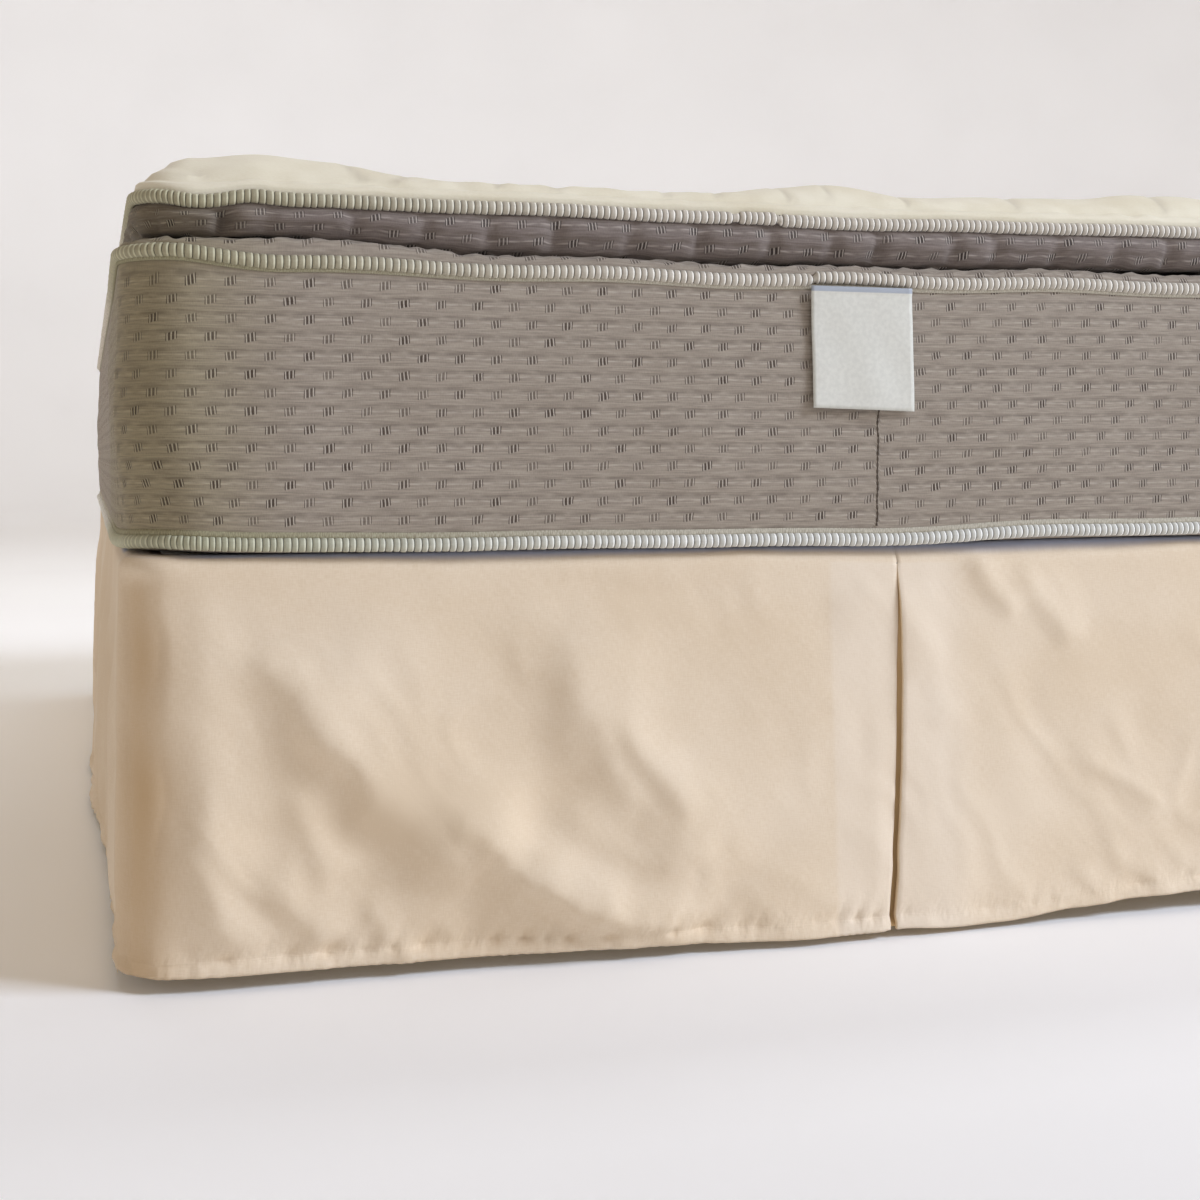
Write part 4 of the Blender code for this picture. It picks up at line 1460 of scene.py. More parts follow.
@dataclass
class Mattress:
    """The mattress: woven border, pillow top with a quilted crown, ribbed binding and a blank label."""

    half_x: float = 0.760
    half_y: float = 1.015
    corner: float = 0.070
    bottom: float = 0.3929
    tape_low: float = 0.4018
    tape_middle: float = 0.6573
    tape_top: float = 0.7175
    tape_half: float = 0.0066
    tape_proud: float = 0.0062
    rib_pitch: float = 0.0067
    face: float = 0.004  # inset of the border's plain face
    face_low: float = 0.4085  # the border bulges between these two heights
    face_high: float = 0.6505
    shoulder: float = 0.6640  # from here the border turns in under the pillow top
    waist: float = 0.018  # inset of the pillow top's own border under its binding
    pad_low: float = 0.6740  # the pillow top's border bulges between these two heights
    pad_high: float = 0.7120
    pad_side: float = 0.04  # insets below this belong to its side, not to its bottom
    pucker_pitch: float = 0.068  # the quilting draws that border in this far apart,
    deep_pucker: tuple[float, float] = (-0.668, 2.6)  # and hard at one place at the foot
    seam_x: float = -0.020  # upright seam in the border at the foot
    stitch: float = 0.0061
    lift_start: float = 0.40  # the crevice rises towards the corners from here
    lift_span: float = 0.20
    lift: float = 0.0075
    climb: float = 0.011  # how far the middle binding climbs round the left corner at the foot
    rise: float = 0.0062  # how far the foot stands higher to the right of its middle
    crown: float = 0.756
    lump: float = 0.009
    lump_pitch: tuple[float, float] = (0.490, 0.520)
    lump_phase: float = 0.060
    quilt_pitch: float = 0.190  # the quilting: wavy lines that run from head to foot
    quilt_length: float = 0.260
    quilt_wave: float = 0.034
    quilt_edge: float = 0.088  # a channel runs round the crown at this distance from its edge
    inner: float = 0.180  # inset at which the crown's rings hand over to a plain grid
    tops: Outline = field(init=False)
    sides: Outline = field(init=False)

    def __post_init__(self) -> None:
        """Divide the outline."""
        self.sides = Outline(self.half_x, self.half_y, self.corner, 170, 150, 20)
        self.tops = Outline(self.half_x, self.half_y, self.corner, 228, 150, 16)

    def build(self, finishes: dict[Slot, Material], shaded_pad_ticking: Material,
              lit_low_tape: Material, flat_tape: Material, thread: Material) -> None:
        """Build every piece of the mattress.

        Args:
            finishes: Materials by slot.
            shaded_pad_ticking: Material of the pad's own border: the border's ticking darkened as painted
                shade under the top binding.
            lit_low_tape: Material of the lowest binding: greyer than the others, and lightened as painted
                light against its shade.
            flat_tape: Material of the binding's flat edges.
            thread: Material of the border's seam.
        """
        self.build_border(finishes[Slot.BORDER])
        self.build_seam(thread)
        self.build_pad(shaded_pad_ticking, finishes[Slot.QUILT])
        tape = finishes[Slot.TAPE]
        for name, node, seat, height, cover, edge, joins in (
                ("binding_low", "tape_bottom", self.face, self.tape_low, lit_low_tape, Edge.LOW, ()),
                ("binding_middle", "tape_middle", self.face, self.tape_middle, tape, Edge.MIDDLE,
                 (Join(-0.090, 0.0022),)),
                ("binding_top", "tape_top", self.waist, self.tape_top, tape, Edge.TOP,
                 (Join(-0.168, 0.0004, 0.0045), Join(-0.122, -0.0015)))):
            self.build_binding(name, node, seat, height, cover, edge, joins)
        low, high = self.tape_low, self.tape_middle
        self.build_flange("flange_low", self.face, (low + 0.005, low + 0.0115), flat_tape, Edge.LOW)
        self.build_flange("flange_middle", self.face - 0.0002, (high - 0.0092, high - 0.004), flat_tape,
                          Edge.MIDDLE)
        self.build_label(finishes[Slot.LABEL])

    def waver(self, edge: Edge, x: Array, y: Array) -> Array:
        """How far a sewn edge wanders up and down round the mattress.

        Args:
            edge: Which edge.
            x: Places across the bed.
            y: Places along the bed.

        Returns:
            Height over its even level.
        """
        even = 1.3 * MM * noise(x, y, edge.value, 0.60, 0.18)
        if edge is Edge.LOW:
            return even - 0.0034 * np.exp(-((x + 0.22) / 0.26) ** 2) * (y < 0)
        if edge is Edge.MIDDLE:
            return even + self.corner_climb(x, y)
        dip = -4.0 * MM * np.exp(-((x + 0.690) / 0.030) ** 2) + 3.0 * MM * np.exp(-((x + 0.640) / 0.022) ** 2)
        return even + dip * (y < 0)

    def corner_climb(self, x: Array, y: Array) -> Array:
        """How far the middle binding climbs round the corner at the left of the foot."""
        return self.climb * ease((-0.61 - x) / 0.11) * ease(1 - (y + self.half_y) / 0.40)

    def foot_rise(self, x: Array, y: Array, z: Array) -> Array:
        """How far the mattress lifts to the right of the foot's middle, more at its top than below.

        Args:
            x: Places across the bed.
            y: Places along the bed.
            z: Heights.

        Returns:
            The lift.
        """
        across = ease((x + 0.06) / 0.38) * ease((self.half_x - x) / 0.30)
        share = 0.50 + 0.50 * np.clip((z - self.tape_low) / (self.tape_top - self.tape_low), 0.0, 1.0)
        return self.rise * share * across * ease(1 - (y + self.half_y) / 0.60)

    def tuck_corners(self, x: Array, y: Array, z: Array) -> tuple[Array, ...]:
        """Draw the lower corners at the foot inwards and up a little, and let the foot rise.

        Args:
            x: Places across the bed.
            y: Places along the bed.
            z: Heights.

        Returns:
            The moved x, y and z.
        """
        near = np.exp(-((self.half_x - np.abs(x)) ** 2 + (self.half_y + y) ** 2) / 0.085 ** 2)
        pull = near * (1 - ease((z - self.tape_low) / 0.12))
        return x - np.sign(x) * 0.017 * pull, y + 0.003 * pull, z + 0.0045 * pull + self.foot_rise(x, y, z)

    def crevice_lift(self, x: Array) -> Array:
        """How far the crevice under the pillow top rises towards the corners."""
        return self.lift * ease((np.abs(x) - self.lift_start) / self.lift_span)

    def border_swell(self, around: Array, z: Array) -> tuple[Array, Array]:
        """How far the border bulges out of its plain face, evenly and unevenly.

        Args:
            around: Places along the outline.
            z: Heights.

        Returns:
            The even bulge and the uneven one.
        """
        share = np.clip((z - self.face_low) / (self.face_high - self.face_low), 0.0, 1.0)
        puff = np.sin(share * math.pi)
        uneven = 1.5 * MM * puff * noise(around, z, 61, 0.42, 0.12, waves=20)
        uneven += 0.5 * MM * puff * noise(around * 0.5, z * 2.5, 62, 0.12, 0.05, waves=20)
        return 0.0042 * puff ** 0.6, uneven

    def build_seam(self, thread: Material) -> Piece:
        """The upright seam that joins the border's two lengths at the foot, a row of dark stitches.

        Args:
            thread: Its material.

        Returns:
            The seam.
        """
        z = np.arange(self.face_low + 0.003, self.face_high - 0.0005, 0.0008)[:, None]
        stitch = 0.0003 + 0.0009 * np.abs(np.sin(math.pi * z / self.stitch)) ** 0.7
        x = self.seam_x + 0.0006 * noise(z, z * 0, 64, 0.08, 0.02)
        x = x + np.array([[-1.0, 0.0, 1.0]]) * stitch
        swell, uneven = self.border_swell(self.foot_along(self.seam_x), z)
        y = -(self.half_y - self.face + swell + uneven + np.array([[0.0001, 0.0007, 0.0001]]))
        seam = add_surface("border_seam", grid(*self.tuck_corners(x, y, z)), grid(x, z), thread)
        return finish_piece(seam)

    def build_border(self, ticking: Material) -> Piece:
        """The border with its puffed top shoulder.

        Args:
            ticking: Its material.

        Returns:
            The border.
        """
        lower = ((0.120, self.bottom), (0.020, self.bottom), (0.008, 0.3942), (self.face, 0.3975),
                 (self.face, self.face_low))
        upper = ((self.face, self.face_high), (self.face, self.shoulder), (0.0062, 0.6685), (0.0105, 0.6715),
                 (0.017, 0.6730), (0.024, 0.6725), (0.034, 0.6712), (0.120, 0.6700))
        levels = np.concatenate([profile(lower, 0.02), profile((lower[-1], upper[0]), 0.0085)[1:],
                                 profile(upper, 0.004)[1:]])
        outline = self.sides
        inset, z = levels[:, 0, None], levels[:, 1, None]
        around = outline.along[None, :-1]
        swell, uneven = self.border_swell(around, z)
        inset = inset - swell
        x, y = outline.ring(inset)
        shoulder = ease((z - self.shoulder) / 0.006)
        crinkle = 1.3 * MM * shoulder * noise(around, inset * 2, 63, 0.05, 0.014, waves=26)
        x, y = x + outline.out_x * uneven, y + outline.out_y * uneven
        raised = self.crevice_lift(x) * shoulder * (inset < self.pad_side)
        z_out = z + np.where(z > self.shoulder, crinkle + raised, 0.0)
        z_out = z_out + self.waver(Edge.MIDDLE, x, y) * ease((z - 0.64) / 0.01)
        z_out = z_out - self.corner_climb(x, y) * shoulder
        x, y, z_out = self.tuck_corners(x, y, z_out)
        z_out = np.where(z < 0.3960, np.maximum(z_out, self.bottom), z_out)
        climbed = walked(*levels.T)[:, None]
        # Beyond the seam the ticking's pattern doesn't match.
        shift = np.where(outline.along[None, :] > self.foot_along(self.seam_x), 1.0, 0.0)
        cloth = grid(outline.along[None, :] + 0.013 * shift, climbed + 0.006 * shift)
        obj = add_surface("mattress_border", grid(x, y, z_out), cloth, ticking, closed=True)
        close_ends(obj, len(levels))
        finish_piece(obj, ("mattress_core",))
        return obj

    def foot_along(self, x: float) -> float:
        """Length walked along the outline to a place on the foot side."""
        start = 2 * (self.half_y - self.corner) + self.corner * math.pi / 2
        return start + x + self.half_x - self.corner

    def puckers(self, outline: Outline) -> tuple[Array, Array]:
        """Where the pad's border is drawn in by its quilting.

        Args:
            outline: The pad's outline.

        Returns:
            Place along the outline and strength of each pucker.
        """
        draw = np.random.default_rng(71)
        places = np.arange(0.03, outline.along[-1] - 0.02, self.pucker_pitch)
        places = places + draw.uniform(-0.012, 0.012, len(places))
        strength = draw.uniform(0.45, 1.0, len(places))
        deep = self.foot_along(self.deep_pucker[0])
        places = np.append(places[np.abs(places - deep) > 0.03], deep)
        return places, np.append(strength[:len(places) - 1], self.deep_pucker[1])

    def build_pad(self, ticking: Material, knit: Material) -> Piece:
        """The pillow top: a puckered border, and a quilted crown above its binding.

        Args:
            ticking: Material of its border.
            knit: Material of its crown.

        Returns:
            The pad.
        """
        outline = self.tops
        side = ((0.120, 0.6718), (0.050, 0.6720), (0.038, 0.6735), (0.0300, 0.6765), (0.0245, 0.6810),
                (0.0205, 0.6870), (0.0185, 0.6930), (0.0172, 0.6980), (0.0168, 0.7040), (0.0178, 0.7090),
                (0.0195, 0.7120), (0.0195, 0.7225))
        crown = ((0.0200, 0.7245), (0.0188, 0.7275), (0.0195, 0.7315), (0.0225, 0.7345), (0.0258, 0.7350),
                 (0.0280, 0.7375), (0.0330, 0.7425), (0.0400, 0.7465), (0.0500, 0.7500), (0.0640, 0.7528),
                 (0.0850, 0.7548), (0.1150, 0.7560), (self.inner, self.crown))
        levels = np.concatenate([profile(side, 0.0048), profile((side[-1], *crown), 0.0075)[1:]])
        edge = len(profile(side, 0.0048)) - 1
        inset, z = levels[:, 0, None], levels[:, 1, None]
        x, y = outline.ring(inset)
        around = outline.along[None, :-1]
        share = (z - self.pad_low) / (self.pad_high - self.pad_low)
        belly = np.sin(np.clip(share, 0.0, 1.0) * math.pi) * (inset < self.pad_side)
        pull = np.zeros(np.broadcast(around, z).shape)
        for place, strength in zip(*self.puckers(outline)):
            bow = place + 0.004 * np.sin(share * math.pi) * (1 if strength > 0.7 else -1)
            pull = np.maximum(pull, strength * np.exp(-(np.abs(around - bow) / 0.0072) ** 1.5))
        push = 4.6 * MM * belly ** 0.7 - 9.5 * MM * pull * belly ** 0.8
        push += 1.1 * MM * belly * noise(around, z * 2, 72, 0.20, 0.05, waves=20)
        waist = z - 0.6875 - 0.003 * noise(around, z * 0, 73, 0.3, 0.1)
        push = (push - 1.2 * MM * np.exp(-(waist / 0.0028) ** 2)) * (inset < self.pad_side)
        x, y = x + outline.out_x * push, y + outline.out_y * push
        low = 1 - ease((z - 0.680) / 0.028)
        z_out = z + self.crevice_lift(x) * low
        z_out = z_out + self.waver(Edge.TOP, x, y) * ease((z - 0.690) / 0.020) * (inset < 0.05)
        z_out = z_out + self.crown_relief(x, y, inset)
        cloth = grid(outline.along[None, :] + 0.007, walked(*levels.T)[:, None] + 0.004)
        obj = add_surface("pillow_pad", grid(x, y, z_out), cloth, ticking, closed=True)
        self.close_crown(obj, outline, len(levels), knit, edge)
        finish_piece(obj, ("pillow_top",))
        return obj

    def crown_relief(self, x: Array, y: Array, inset: Array) -> Array:
        """Lumps, quilted channels and creases of the crown.

        Args:
            x: Places across the bed.
            y: Places along the bed.
            inset: Distances in from the mattress outline.

        Returns:
            Height added to the plain crown.
        """
        grown = ease((inset - 0.024) / 0.045)
        pitch_x, pitch_y = self.lump_pitch
        lumps = self.lump * np.cos(math.tau * (x + self.lump_phase) / pitch_x)
        lumps = lumps * np.cos(math.tau * y / pitch_y)
        near_foot = ease(1 - (y + self.half_y) / 0.30)
        edge = read_table(FOOT_LOFT[:, 0], FOOT_LOFT[:, 1], x)
        relief = grown * (lumps + (edge - lumps) * near_foot)
        relief = relief + 1.6 * MM * grown * noise(x, y, 81, 0.30, 0.07, waves=24)
        relief = relief - 3.2 * MM * grown * self.quilting(x, y, 0.0085)
        seam = 1.6 * MM * np.exp(-((inset - 0.0262) / 0.0030) ** 2)
        gathers = 1.1 * MM * np.exp(-((inset - 0.030) / 0.014) ** 2)
        gathers = gathers * noise(x + y, inset, 83, 0.05, 0.016) - 1.8 * MM * self.edge_creases(x, y)
        return relief - seam + gathers + self.foot_rise(x, y, np.full_like(x, self.tape_top))

    def edge_creases(self, x: Array, y: Array) -> Array:
        """Short creases that the binding's seam draws into the crown.

        Args:
            x: Places across the bed.
            y: Places along the bed.

        Returns:
            1 in a crease, easing to 0 beside it.
        """
        to_side, to_end = self.half_x - np.abs(x), self.half_y - np.abs(y)
        edge = np.minimum(to_side, to_end)
        along = np.where(to_end < to_side, x, y)
        creases = np.exp(-(noise(along, 0.30 * edge, 85, 0.26, 0.09) / 0.14) ** 2)
        creases = creases * ease((edge - 0.024) / 0.010) * ease((0.098 - edge) / 0.045)
        return creases * ease(np.abs(to_side - to_end) / 0.05)

    def quilting(self, x: Array, y: Array, width: float) -> Array:
        """The crown's quilting: pairs of wavy lines that part and meet, inside one channel round the crown.

        Args:
            x: Places across the bed.
            y: Places along the bed.
            width: Half the width of a line.

        Returns:
            1 on a line, easing to 0 beside it.
        """
        bend = 0.006 * noise(x, y, 82, 0.8, 0.3)
        wave = self.quilt_wave * np.sin(math.tau * (y + bend) / self.quilt_length)
        lines = 0.0 * x
        for shift, side in ((0.0, 1.0), (0.5, -1.0)):
            place = (x + bend + side * wave) / self.quilt_pitch + shift
            off = np.abs((place + 0.5) % 1.0 - 0.5) * self.quilt_pitch
            lines = np.maximum(lines, np.exp(-(off / width) ** 2))
        edge = np.minimum(self.half_x - np.abs(x), self.half_y - np.abs(y)) + 0.8 * bend
        lines = lines * ease((edge - self.quilt_edge) / 0.010)
        return np.maximum(lines, 0.8 * np.exp(-((edge - self.quilt_edge) / width) ** 2))

    def close_crown(self, obj: Piece, outline: Outline, rings: int, knit: Material, edge: int) -> None:
        """Fill the middle of the crown with a grid and give all above the binding its knit.

        Args:
            obj: The pad.
            outline: The pad's outline.
            rings: Number of its rings; not used.
            knit: The crown's material.
            edge: Number of the ring at the binding.
        """
        half_x, half_y = self.half_x - self.inner, self.half_y - self.inner
        x = np.linspace(-half_x, half_x, outline.foot_steps + 1)[None, :]
        y = np.linspace(-half_y, half_y, outline.side_steps + 1)[:, None]
        x, y = np.broadcast_arrays(x, y)
        inset = np.full(x.shape, self.inner)
        points = np.stack([x, y, self.crown + self.crown_relief(x, y, inset)], axis=-1)
        middle = add_surface("crown_middle", points, points[..., :2], knit)
        obj.data.materials.append(knit)
        bm = bmesh.new()
        bm.from_mesh(obj.data)
        bm.verts.ensure_lookup_table()
        layer = bm.loops.layers.uv[CLOTH_MAP]
        count = len(outline.run_x)
        for face in bm.faces:
            if min(vert.index for vert in face.verts) >= edge * count:
                face.material_index = 1
                for loop in face.loops:
                    loop[layer].uv = loop.vert.co.x, loop.vert.co.y + loop.vert.co.z
        bm.faces.new([bm.verts[k] for k in reversed(range(count))])
        before = len(bm.faces)
        bm.from_mesh(middle.data)
        bm.faces.ensure_lookup_table()
        for face in bm.faces[before:]:
            face.material_index = 1
        bmesh.ops.remove_doubles(bm, verts=bm.verts[:], dist=0.2 * MM)
        write_back(bm, obj)
        bpy.data.objects.remove(middle, do_unlink=True)
        x, y, z = np.array([vert.co[:] for vert in obj.data.vertices]).T
        # Painted shade along the quilting lines and in the creases by the binding.
        seam = np.maximum(0.45 * self.quilting(x, y, 0.0045), 0.40 * self.edge_creases(x, y))
        paint(obj, "seam", seam * (z > self.tape_top + 0.02))

    def build_binding(self, name: str, node: str, seat: float, height: float, tape: Material,
                      edge: Edge, joins: tuple[Join, ...]) -> Piece:
        """A ribbed binding, rib by rib round the mattress.

        Args:
            name: Name of the piece.
            node: Solid that it stands for.
            seat: Inset of the face it is sewn to.
            height: Height of its middle.
            tape: Its material.
            edge: Which edge it follows.
            joins: Where its ends meet.

        Returns:
            The binding.
        """
        outline = Outline(self.half_x, self.half_y, self.corner, 400, 400, 60)
        dense_x, dense_y = outline.ring(0.0)
        total = outline.along[-1]
        ribs = round(total / self.rib_pitch)
        draw = np.random.default_rng(edge.value)
        steps = np.array([0.0, 0.13, 0.36, 0.64, 0.87])
        edges = np.arange(ribs + 1) + np.append(np.append(0.0, draw.uniform(-0.09, 0.09, ribs - 1)), 0.0)
        number = (np.arange(ribs)[:, None] + steps[None, :]).ravel()
        place = (edges[:-1, None] + np.diff(edges)[:, None] * steps[None, :]).ravel() / ribs * total

        def walk(values: Array) -> Array:
            """Values of the outline at every place."""
            return np.interp(place, outline.along, np.append(values, values[0]))

        run_x, run_y = walk(dense_x), walk(dense_y)
        out_x, out_y = walk(outline.out_x), walk(outline.out_y)
        length = np.hypot(out_x, out_y)
        out_x, out_y = out_x / length, out_y / length
        within = number % 1.0
        crest = 1 - np.exp(-(np.minimum(within, 1 - within) / 0.085) ** 2)
        size = np.repeat(1 + draw.uniform(-0.04, 0.04, ribs), len(steps))
        reach = size * (0.79 + 0.21 * crest)
        wander = self.waver(edge, run_x, run_y)
        at_foot = run_y < -self.half_y + 0.001
        for join in joins:
            shifted = ease((run_x - join.x) / 0.002) * ease((join.x + 0.20 - run_x) / 0.15)
            wander = wander + join.shift * at_foot * shifted
            notch = np.exp(-((run_x - join.x) / join.gap) ** 4) * at_foot
            reach = reach * (1 - 0.38 * notch)
        angles = np.radians([-90, -66, -40, -13, 13, 40, 66, 90])
        proud = np.concatenate([self.tape_proud * np.cos(angles), [0.0]])
        tall = np.concatenate([self.tape_half * np.sin(angles), [0.0]])
        inset = seat - 0.0003 - proud[:, None] * reach[None, :]
        x = run_x[None, :] - out_x[None, :] * inset
        y = run_y[None, :] - out_y[None, :] * inset
        z = height + wander[None, :] + tall[:, None] * reach[None, :]
        points = grid(*self.tuck_corners(x, y, z))
        points = np.concatenate([points, points[:1]], axis=0)
        round_it = np.append(np.linspace(0.0, 0.018, len(tall)), 0.020)[:, None]
        cloth = grid(np.append(number, float(ribs))[None, :], round_it)
        obj = add_surface(name, points, cloth, tape, closed=True)
        weld(obj, 0.005 * MM)
        return finish_piece(obj, (node,))

    def build_flange(self, name: str, seat: float, span: tuple[float, float], tape: Material,
                     edge: Edge) -> Piece:
        """The flat edge of a binding that lies on the border beside the ribs.

        Args:
            name: Name of the piece.
            seat: Inset of the face it lies on.
            span: Lower and upper height.
            tape: Its material.
            edge: Which edge it follows.

        Returns:
            The flange.
        """
        outline = self.sides
        section = ((0.0000, span[0]), (-0.0014, span[0]), (-0.0016, (span[0] + span[1]) / 2),
                   (-0.0009, span[1]), (0.0010, span[1]), (0.0000, span[0]))
        inset = np.array([seat + rise for rise, _ in section])[:, None]
        z = np.array([level for _, level in section])[:, None]
        x, y = outline.ring(inset)
        points = grid(*self.tuck_corners(x, y, z + self.waver(edge, x, y)))
        cloth = grid(outline.along[None, :], np.linspace(0.0, 0.012, len(section))[:, None])
        obj = add_surface(name, points, cloth, tape, closed=True)
        weld(obj, 0.005 * MM)
        return finish_piece(obj)

    def build_label(self, sheet: Material) -> Piece:
        """The blank label that hangs from the middle binding.

        Args:
            sheet: Its material.

        Returns:
            The label.
        """
        left, right, top, bottom = -0.095, 0.016, 0.6515, 0.5300
        across = np.linspace(0.0, 1.0, 27)[None, :]
        down = np.concatenate([np.linspace(0.0, 0.055, 5), np.linspace(0.07, 1.0, 30)])[:, None]
        x = left + (right - left) * across + 0.0012 * np.sin(down * 2.2)
        z = top + (bottom - 0.003 * across - top) * down
        away = 0.0020 + 0.0035 * down ** 2 + 0.0012 * np.sin(across * 2.6 + 0.4) * down
        away = away + 0.0009 * (1 - ease((down - 0.048) / 0.010))
        away = away + 0.0008 * noise(x, z, 91, 0.12, 0.04)
        obj = add_surface("blank_label", grid(x, -(self.half_y + 0.0004 + away), z), grid(x, z), sheet)
        thicken(obj, 0.4 * MM)
        return finish_piece(obj, ("mattress_label",))


# ---------------- box spring and base

@dataclass
class BoxSpring:
    """The upholstered box under the mattress, with a seam beside its upper and its lower edge."""

    half_x: float = 0.7465
    half_y: float = 1.0015
    corner: float = 0.060
    bottom: float = 0.1661
    top: float = 0.3910
    edge: float = 0.014

    def build(self, ticking: Material) -> Piece:
        """Build the box.

        Args:
            ticking: Its material.

        Returns:
            The box.
        """
        outline = Outline(self.half_x, self.half_y, self.corner, 90, 120, 10)
        bends = [math.radians(15 * k) for k in range(7)]
        rim = [(self.edge * (1 - math.cos(a)), self.top - self.edge * (1 - math.sin(a))) for a in bends]
        wall = [(0.120, self.bottom), (0.010, self.bottom), (0.003, self.bottom + 0.0015),
                (0.0, self.bottom + 0.004), (0.0, self.bottom + 0.008), (0.0022, self.bottom + 0.011)]
        wall += [(0.0010, self.bottom + 0.030), (0.0, (self.bottom + self.top) / 2),
                 (0.0010, self.top - 0.034), (0.0024, self.top - 0.0200), (0.0006, self.top - 0.0170), rim[0]]
        levels = np.concatenate([profile(tuple(wall), 0.012), np.array(rim[1:]), [(0.120, self.top)]])
        inset, z = levels[:, 0, None], levels[:, 1, None]
        x, y = outline.ring(inset)
        middle = np.sin(np.clip((z - self.bottom - 0.011) / (self.top - self.bottom - 0.031), 0, 1) * math.pi)
        push = 0.8 * MM * middle * noise(outline.along[None, :-1], z, 95, 0.35, 0.10, waves=18)
        x, y = x + outline.out_x * push, y + outline.out_y * push
        cloth = grid(outline.along[None, :], walked(*levels.T)[:, None])
        obj = add_surface("box_cover", grid(x, y, z), cloth, ticking, closed=True)
        close_ends(obj, len(levels))
        finish_piece(obj, ("box_spring",))
        return obj


@dataclass
class SteelBase:
    """Side and cross rails, which keep their solids, on five round legs, which are turned with glides."""

    rails: tuple[str, ...] = ("rail_left", "rail_right", "rail_foot", "rail_centre", "rail_head")
    legs: tuple[str, ...] = ("leg_foot_left", "leg_foot_right", "leg_centre", "leg_head_left",
                             "leg_head_right")
    edge: float = 2.0 * MM
    sides: int = 40
    # Radius and height of the turned leg, from the floor up: glide, its collar, then the tube.
    turned: tuple[tuple[float, float], ...] = (
        (0.0000, 0.0000), (0.0150, 0.0000), (0.0163, 0.0012), (0.0168, 0.0030), (0.0168, 0.0150),
        (0.0158, 0.0165), (0.0146, 0.0170), (0.0146, 0.1270), (0.0170, 0.1275), (0.0170, 0.1300),
        (0.0000, 0.1300),
    )
    glide_rows: int = 6

    def build(self, coat: Material, glide: Material) -> None:
        """Dress the rails and turn the legs.

        Args:
            coat: Finish of the steel.
            glide: Finish of the glides.
        """
        for name in self.rails:
            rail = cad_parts[name]
            rail.data.materials.clear()
            rail.data.materials.append(coat)
            seam = rail.modifiers.new("seam", "WELD")
            seam.merge_threshold = 0.05 * MM
            edge = rail.modifiers.new("edge", "BEVEL")
            edge.width = self.edge
            edge.segments = 3
            log.info("%s: dressed", name)
        for name in self.legs:
            self.build_leg(name, coat, glide)

    def build_leg(self, node: str, coat: Material, glide: Material) -> Piece:
        """One turned leg with its glide.

        Args:
            node: Solid that it stands for.
            coat: Finish of the tube.
            glide: Finish of the glide.

        Returns:
            The leg.
        """
        low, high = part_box(node)
        centre = (low + high) / 2
        shape = np.array(self.turned)
        angle = np.linspace(0.0, math.tau, self.sides, endpoint=False)[None, :]
        radius = shape[:, 0, None]
        height = shape[:, 1, None]
        points = grid(centre.x + radius * np.cos(angle), centre.y + radius * np.sin(angle), low.z + height)
        cloth = grid(np.append(angle[0], math.tau)[None, :] * 0.017, height)
        obj = add_surface("turned_" + node, points, cloth, coat, closed=True)
        obj.data.materials.append(glide)
        rows = np.repeat(np.arange(len(shape) - 1), self.sides)
        obj.data.polygons.foreach_set("material_index", (rows < self.glide_rows).astype(np.int32))
        weld(obj)
        obj.data.set_sharp_from_angle(angle=math.radians(35))
        return finish_piece(obj, (node,))


# ---------------- studio

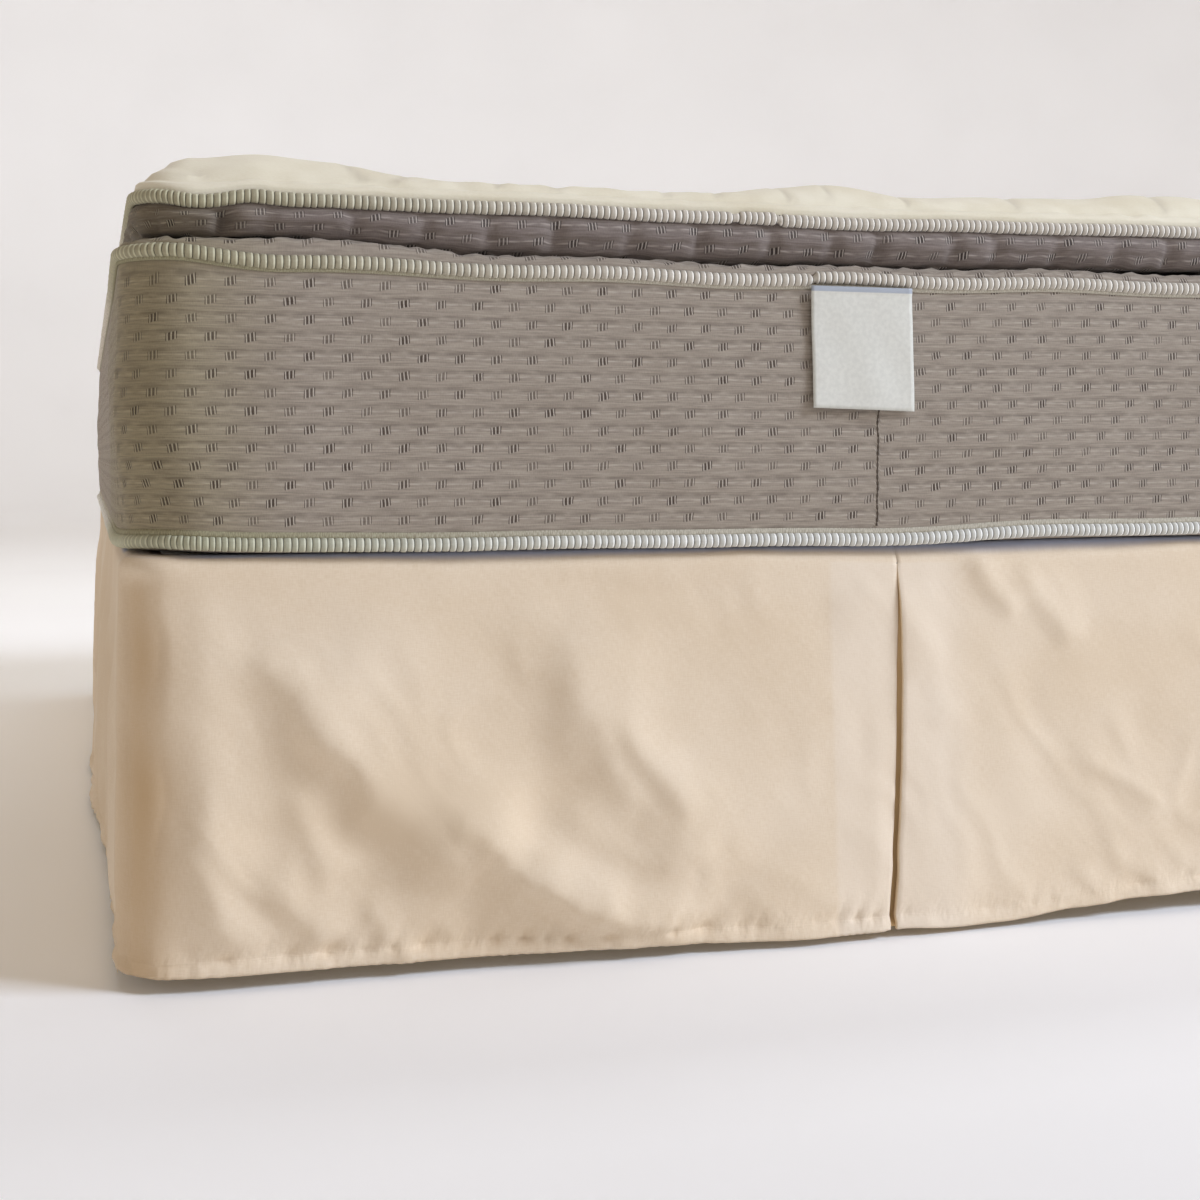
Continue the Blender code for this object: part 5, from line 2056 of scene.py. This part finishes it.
@dataclass
class Studio:
    """A pale seamless sweep, soft lights and the camera."""

    floor_radius: float = 9.0
    sweep: float = 3.0
    wall: float = 4.0
    eye: tuple[float, float, float] = (-0.785, -2.571, 0.483)
    yaw: float = math.radians(-16.87)
    lens: float = 50.94
    sensor: float = 36.0
    drop: float = -0.1208  # the picture's middle lies below the horizon
    air: str = "#FFD8A2"
    air_strength: float = 0.17

    def build(self, paper: Material) -> None:
        """Build the sweep, the lights and the camera.

        Args:
            paper: Material of the sweep.
        """
        self.build_sweep(paper)
        self.build_world()
        self.add_light("key", (6.5, -4.7, 5.6), (-0.2, -1.0, 0.35), 3.0, 740.0, "#E4EEFF")
        self.add_light("fill", (-4.6, 0.4, 3.0), (-1.4, 0.0, 0.1), 2.6, 12.0, "#FFEFD8")
        self.add_light("backdrop", (0.0, 2.0, 6.4), (0.0, 9.0, 0.4), 5.0, 260.0, "#FFFFFF")
        self.build_camera()
        bpy.context.scene.view_settings.view_transform = "Standard"

    def build_sweep(self, paper: Material) -> None:
        """A round floor that turns up into a wall all round.

        Args:
            paper: Its material.
        """
        bends = [math.radians(9 * k) for k in range(11)]
        turned = [(0.001, 0.0), (2.0, 0.0), (self.floor_radius, 0.0)]
        turned += [(self.floor_radius + self.sweep * math.sin(a), self.sweep * (1 - math.cos(a)))
                   for a in bends[1:]]
        turned.append((self.floor_radius + self.sweep, self.sweep + self.wall))
        shape = np.array(turned)
        angle = np.linspace(0.0, math.tau, 96, endpoint=False)[None, :]
        radius = shape[:, 0, None]
        points = grid(radius * np.cos(angle), radius * np.sin(angle), shape[:, 1, None])
        cloth = np.zeros((len(shape), angle.size + 1, 2))
        add_surface("sweep", points, cloth, paper, closed=True)

    def build_world(self) -> None:
        """Even warm light from all round."""
        world = bpy.data.worlds.new("studio")
        world.use_nodes = True
        ground = world.node_tree.nodes["Background"]
        ground.inputs["Color"].default_value = linear(self.air)
        ground.inputs["Strength"].default_value = self.air_strength
        bpy.context.scene.world = world

    def add_light(self, name: str, place: tuple[float, float, float], target: tuple[float, float, float],
                  size: float, power: float, colour: str) -> None:
        """A square soft light.

        Args:
            name: Its name.
            place: Where it stands.
            target: What it looks at.
            size: Its side.
            power: Its power in watts.
            colour: Its colour.
        """
        lamp = bpy.data.lights.new(name, "AREA")
        lamp.shape = "SQUARE"
        lamp.size = size
        lamp.energy = power
        lamp.color = linear(colour)[:3]
        obj = bpy.data.objects.new(name, lamp)
        bpy.context.scene.collection.objects.link(obj)
        obj.location = place
        aim = Vector(target) - obj.location
        obj.rotation_euler = aim.to_track_quat("-Z", "Y").to_euler()

    def build_camera(self) -> None:
        """A level camera at the height of the mattress border, with its picture moved down."""
        lens = bpy.data.cameras.new("camera")
        lens.lens = self.lens
        lens.sensor_width = self.sensor
        lens.shift_y = self.drop
        camera = bpy.data.objects.new("camera", lens)
        bpy.context.scene.collection.objects.link(camera)
        camera.location = self.eye
        camera.rotation_euler = (math.pi / 2, 0.0, self.yaw)
        bpy.context.scene.camera = camera


def main() -> None:
    """Dress the model, piece by piece, and set up the studio."""
    logging.basicConfig(level=logging.INFO, format="%(message)s")
    finishes = {
        Slot.SKIRT: PlainWeave().make(), Slot.DECK: PlatformCloth().make(),
        Slot.BORDER: DobbyTicking().make(),
        Slot.QUILT: StretchKnit().make(), Slot.TAPE: RibbedBinding().make(), Slot.LABEL: BlankLabel().make(),
        Slot.TICKING: PlainTicking().make(), Slot.STEEL: PowderCoat().make(),
    }
    BedSkirt().build(finishes[Slot.SKIRT], finishes[Slot.DECK])
    # The pad's border: a darker copy of the border's ticking, painted shade under the top binding.
    shaded_pad_ticking = DobbyTicking(name="polyester_ticking_dobby_woven_quilted_painted_shade", light="#8B8079", deep="#6B605A",
                               float_light="#B3A9A0", gap_dark="#3F3733").make()
    # The lowest binding: its grey is its own; its extra lightness is painted light against the shade it sits
    # in.
    lit_low_tape = RibbedBinding(name="polyester_binding_rib_woven_lowest_painted_light", light="#F7F6EF", deep="#CBCAC1",
                             groove="#55544E").make()
    thread = PlainTicking(name="polyester_thread_lockstitched", light="#5E5348", deep="#443A31").make()
    Mattress().build(finishes, shaded_pad_ticking, lit_low_tape, FlatTape().make(), thread)
    BoxSpring().build(finishes[Slot.TICKING])
    SteelBase().build(finishes[Slot.STEEL], MouldedGlide().make())
    Studio().build(StudioPaper().make())


if __name__ == "__main__":
    main()
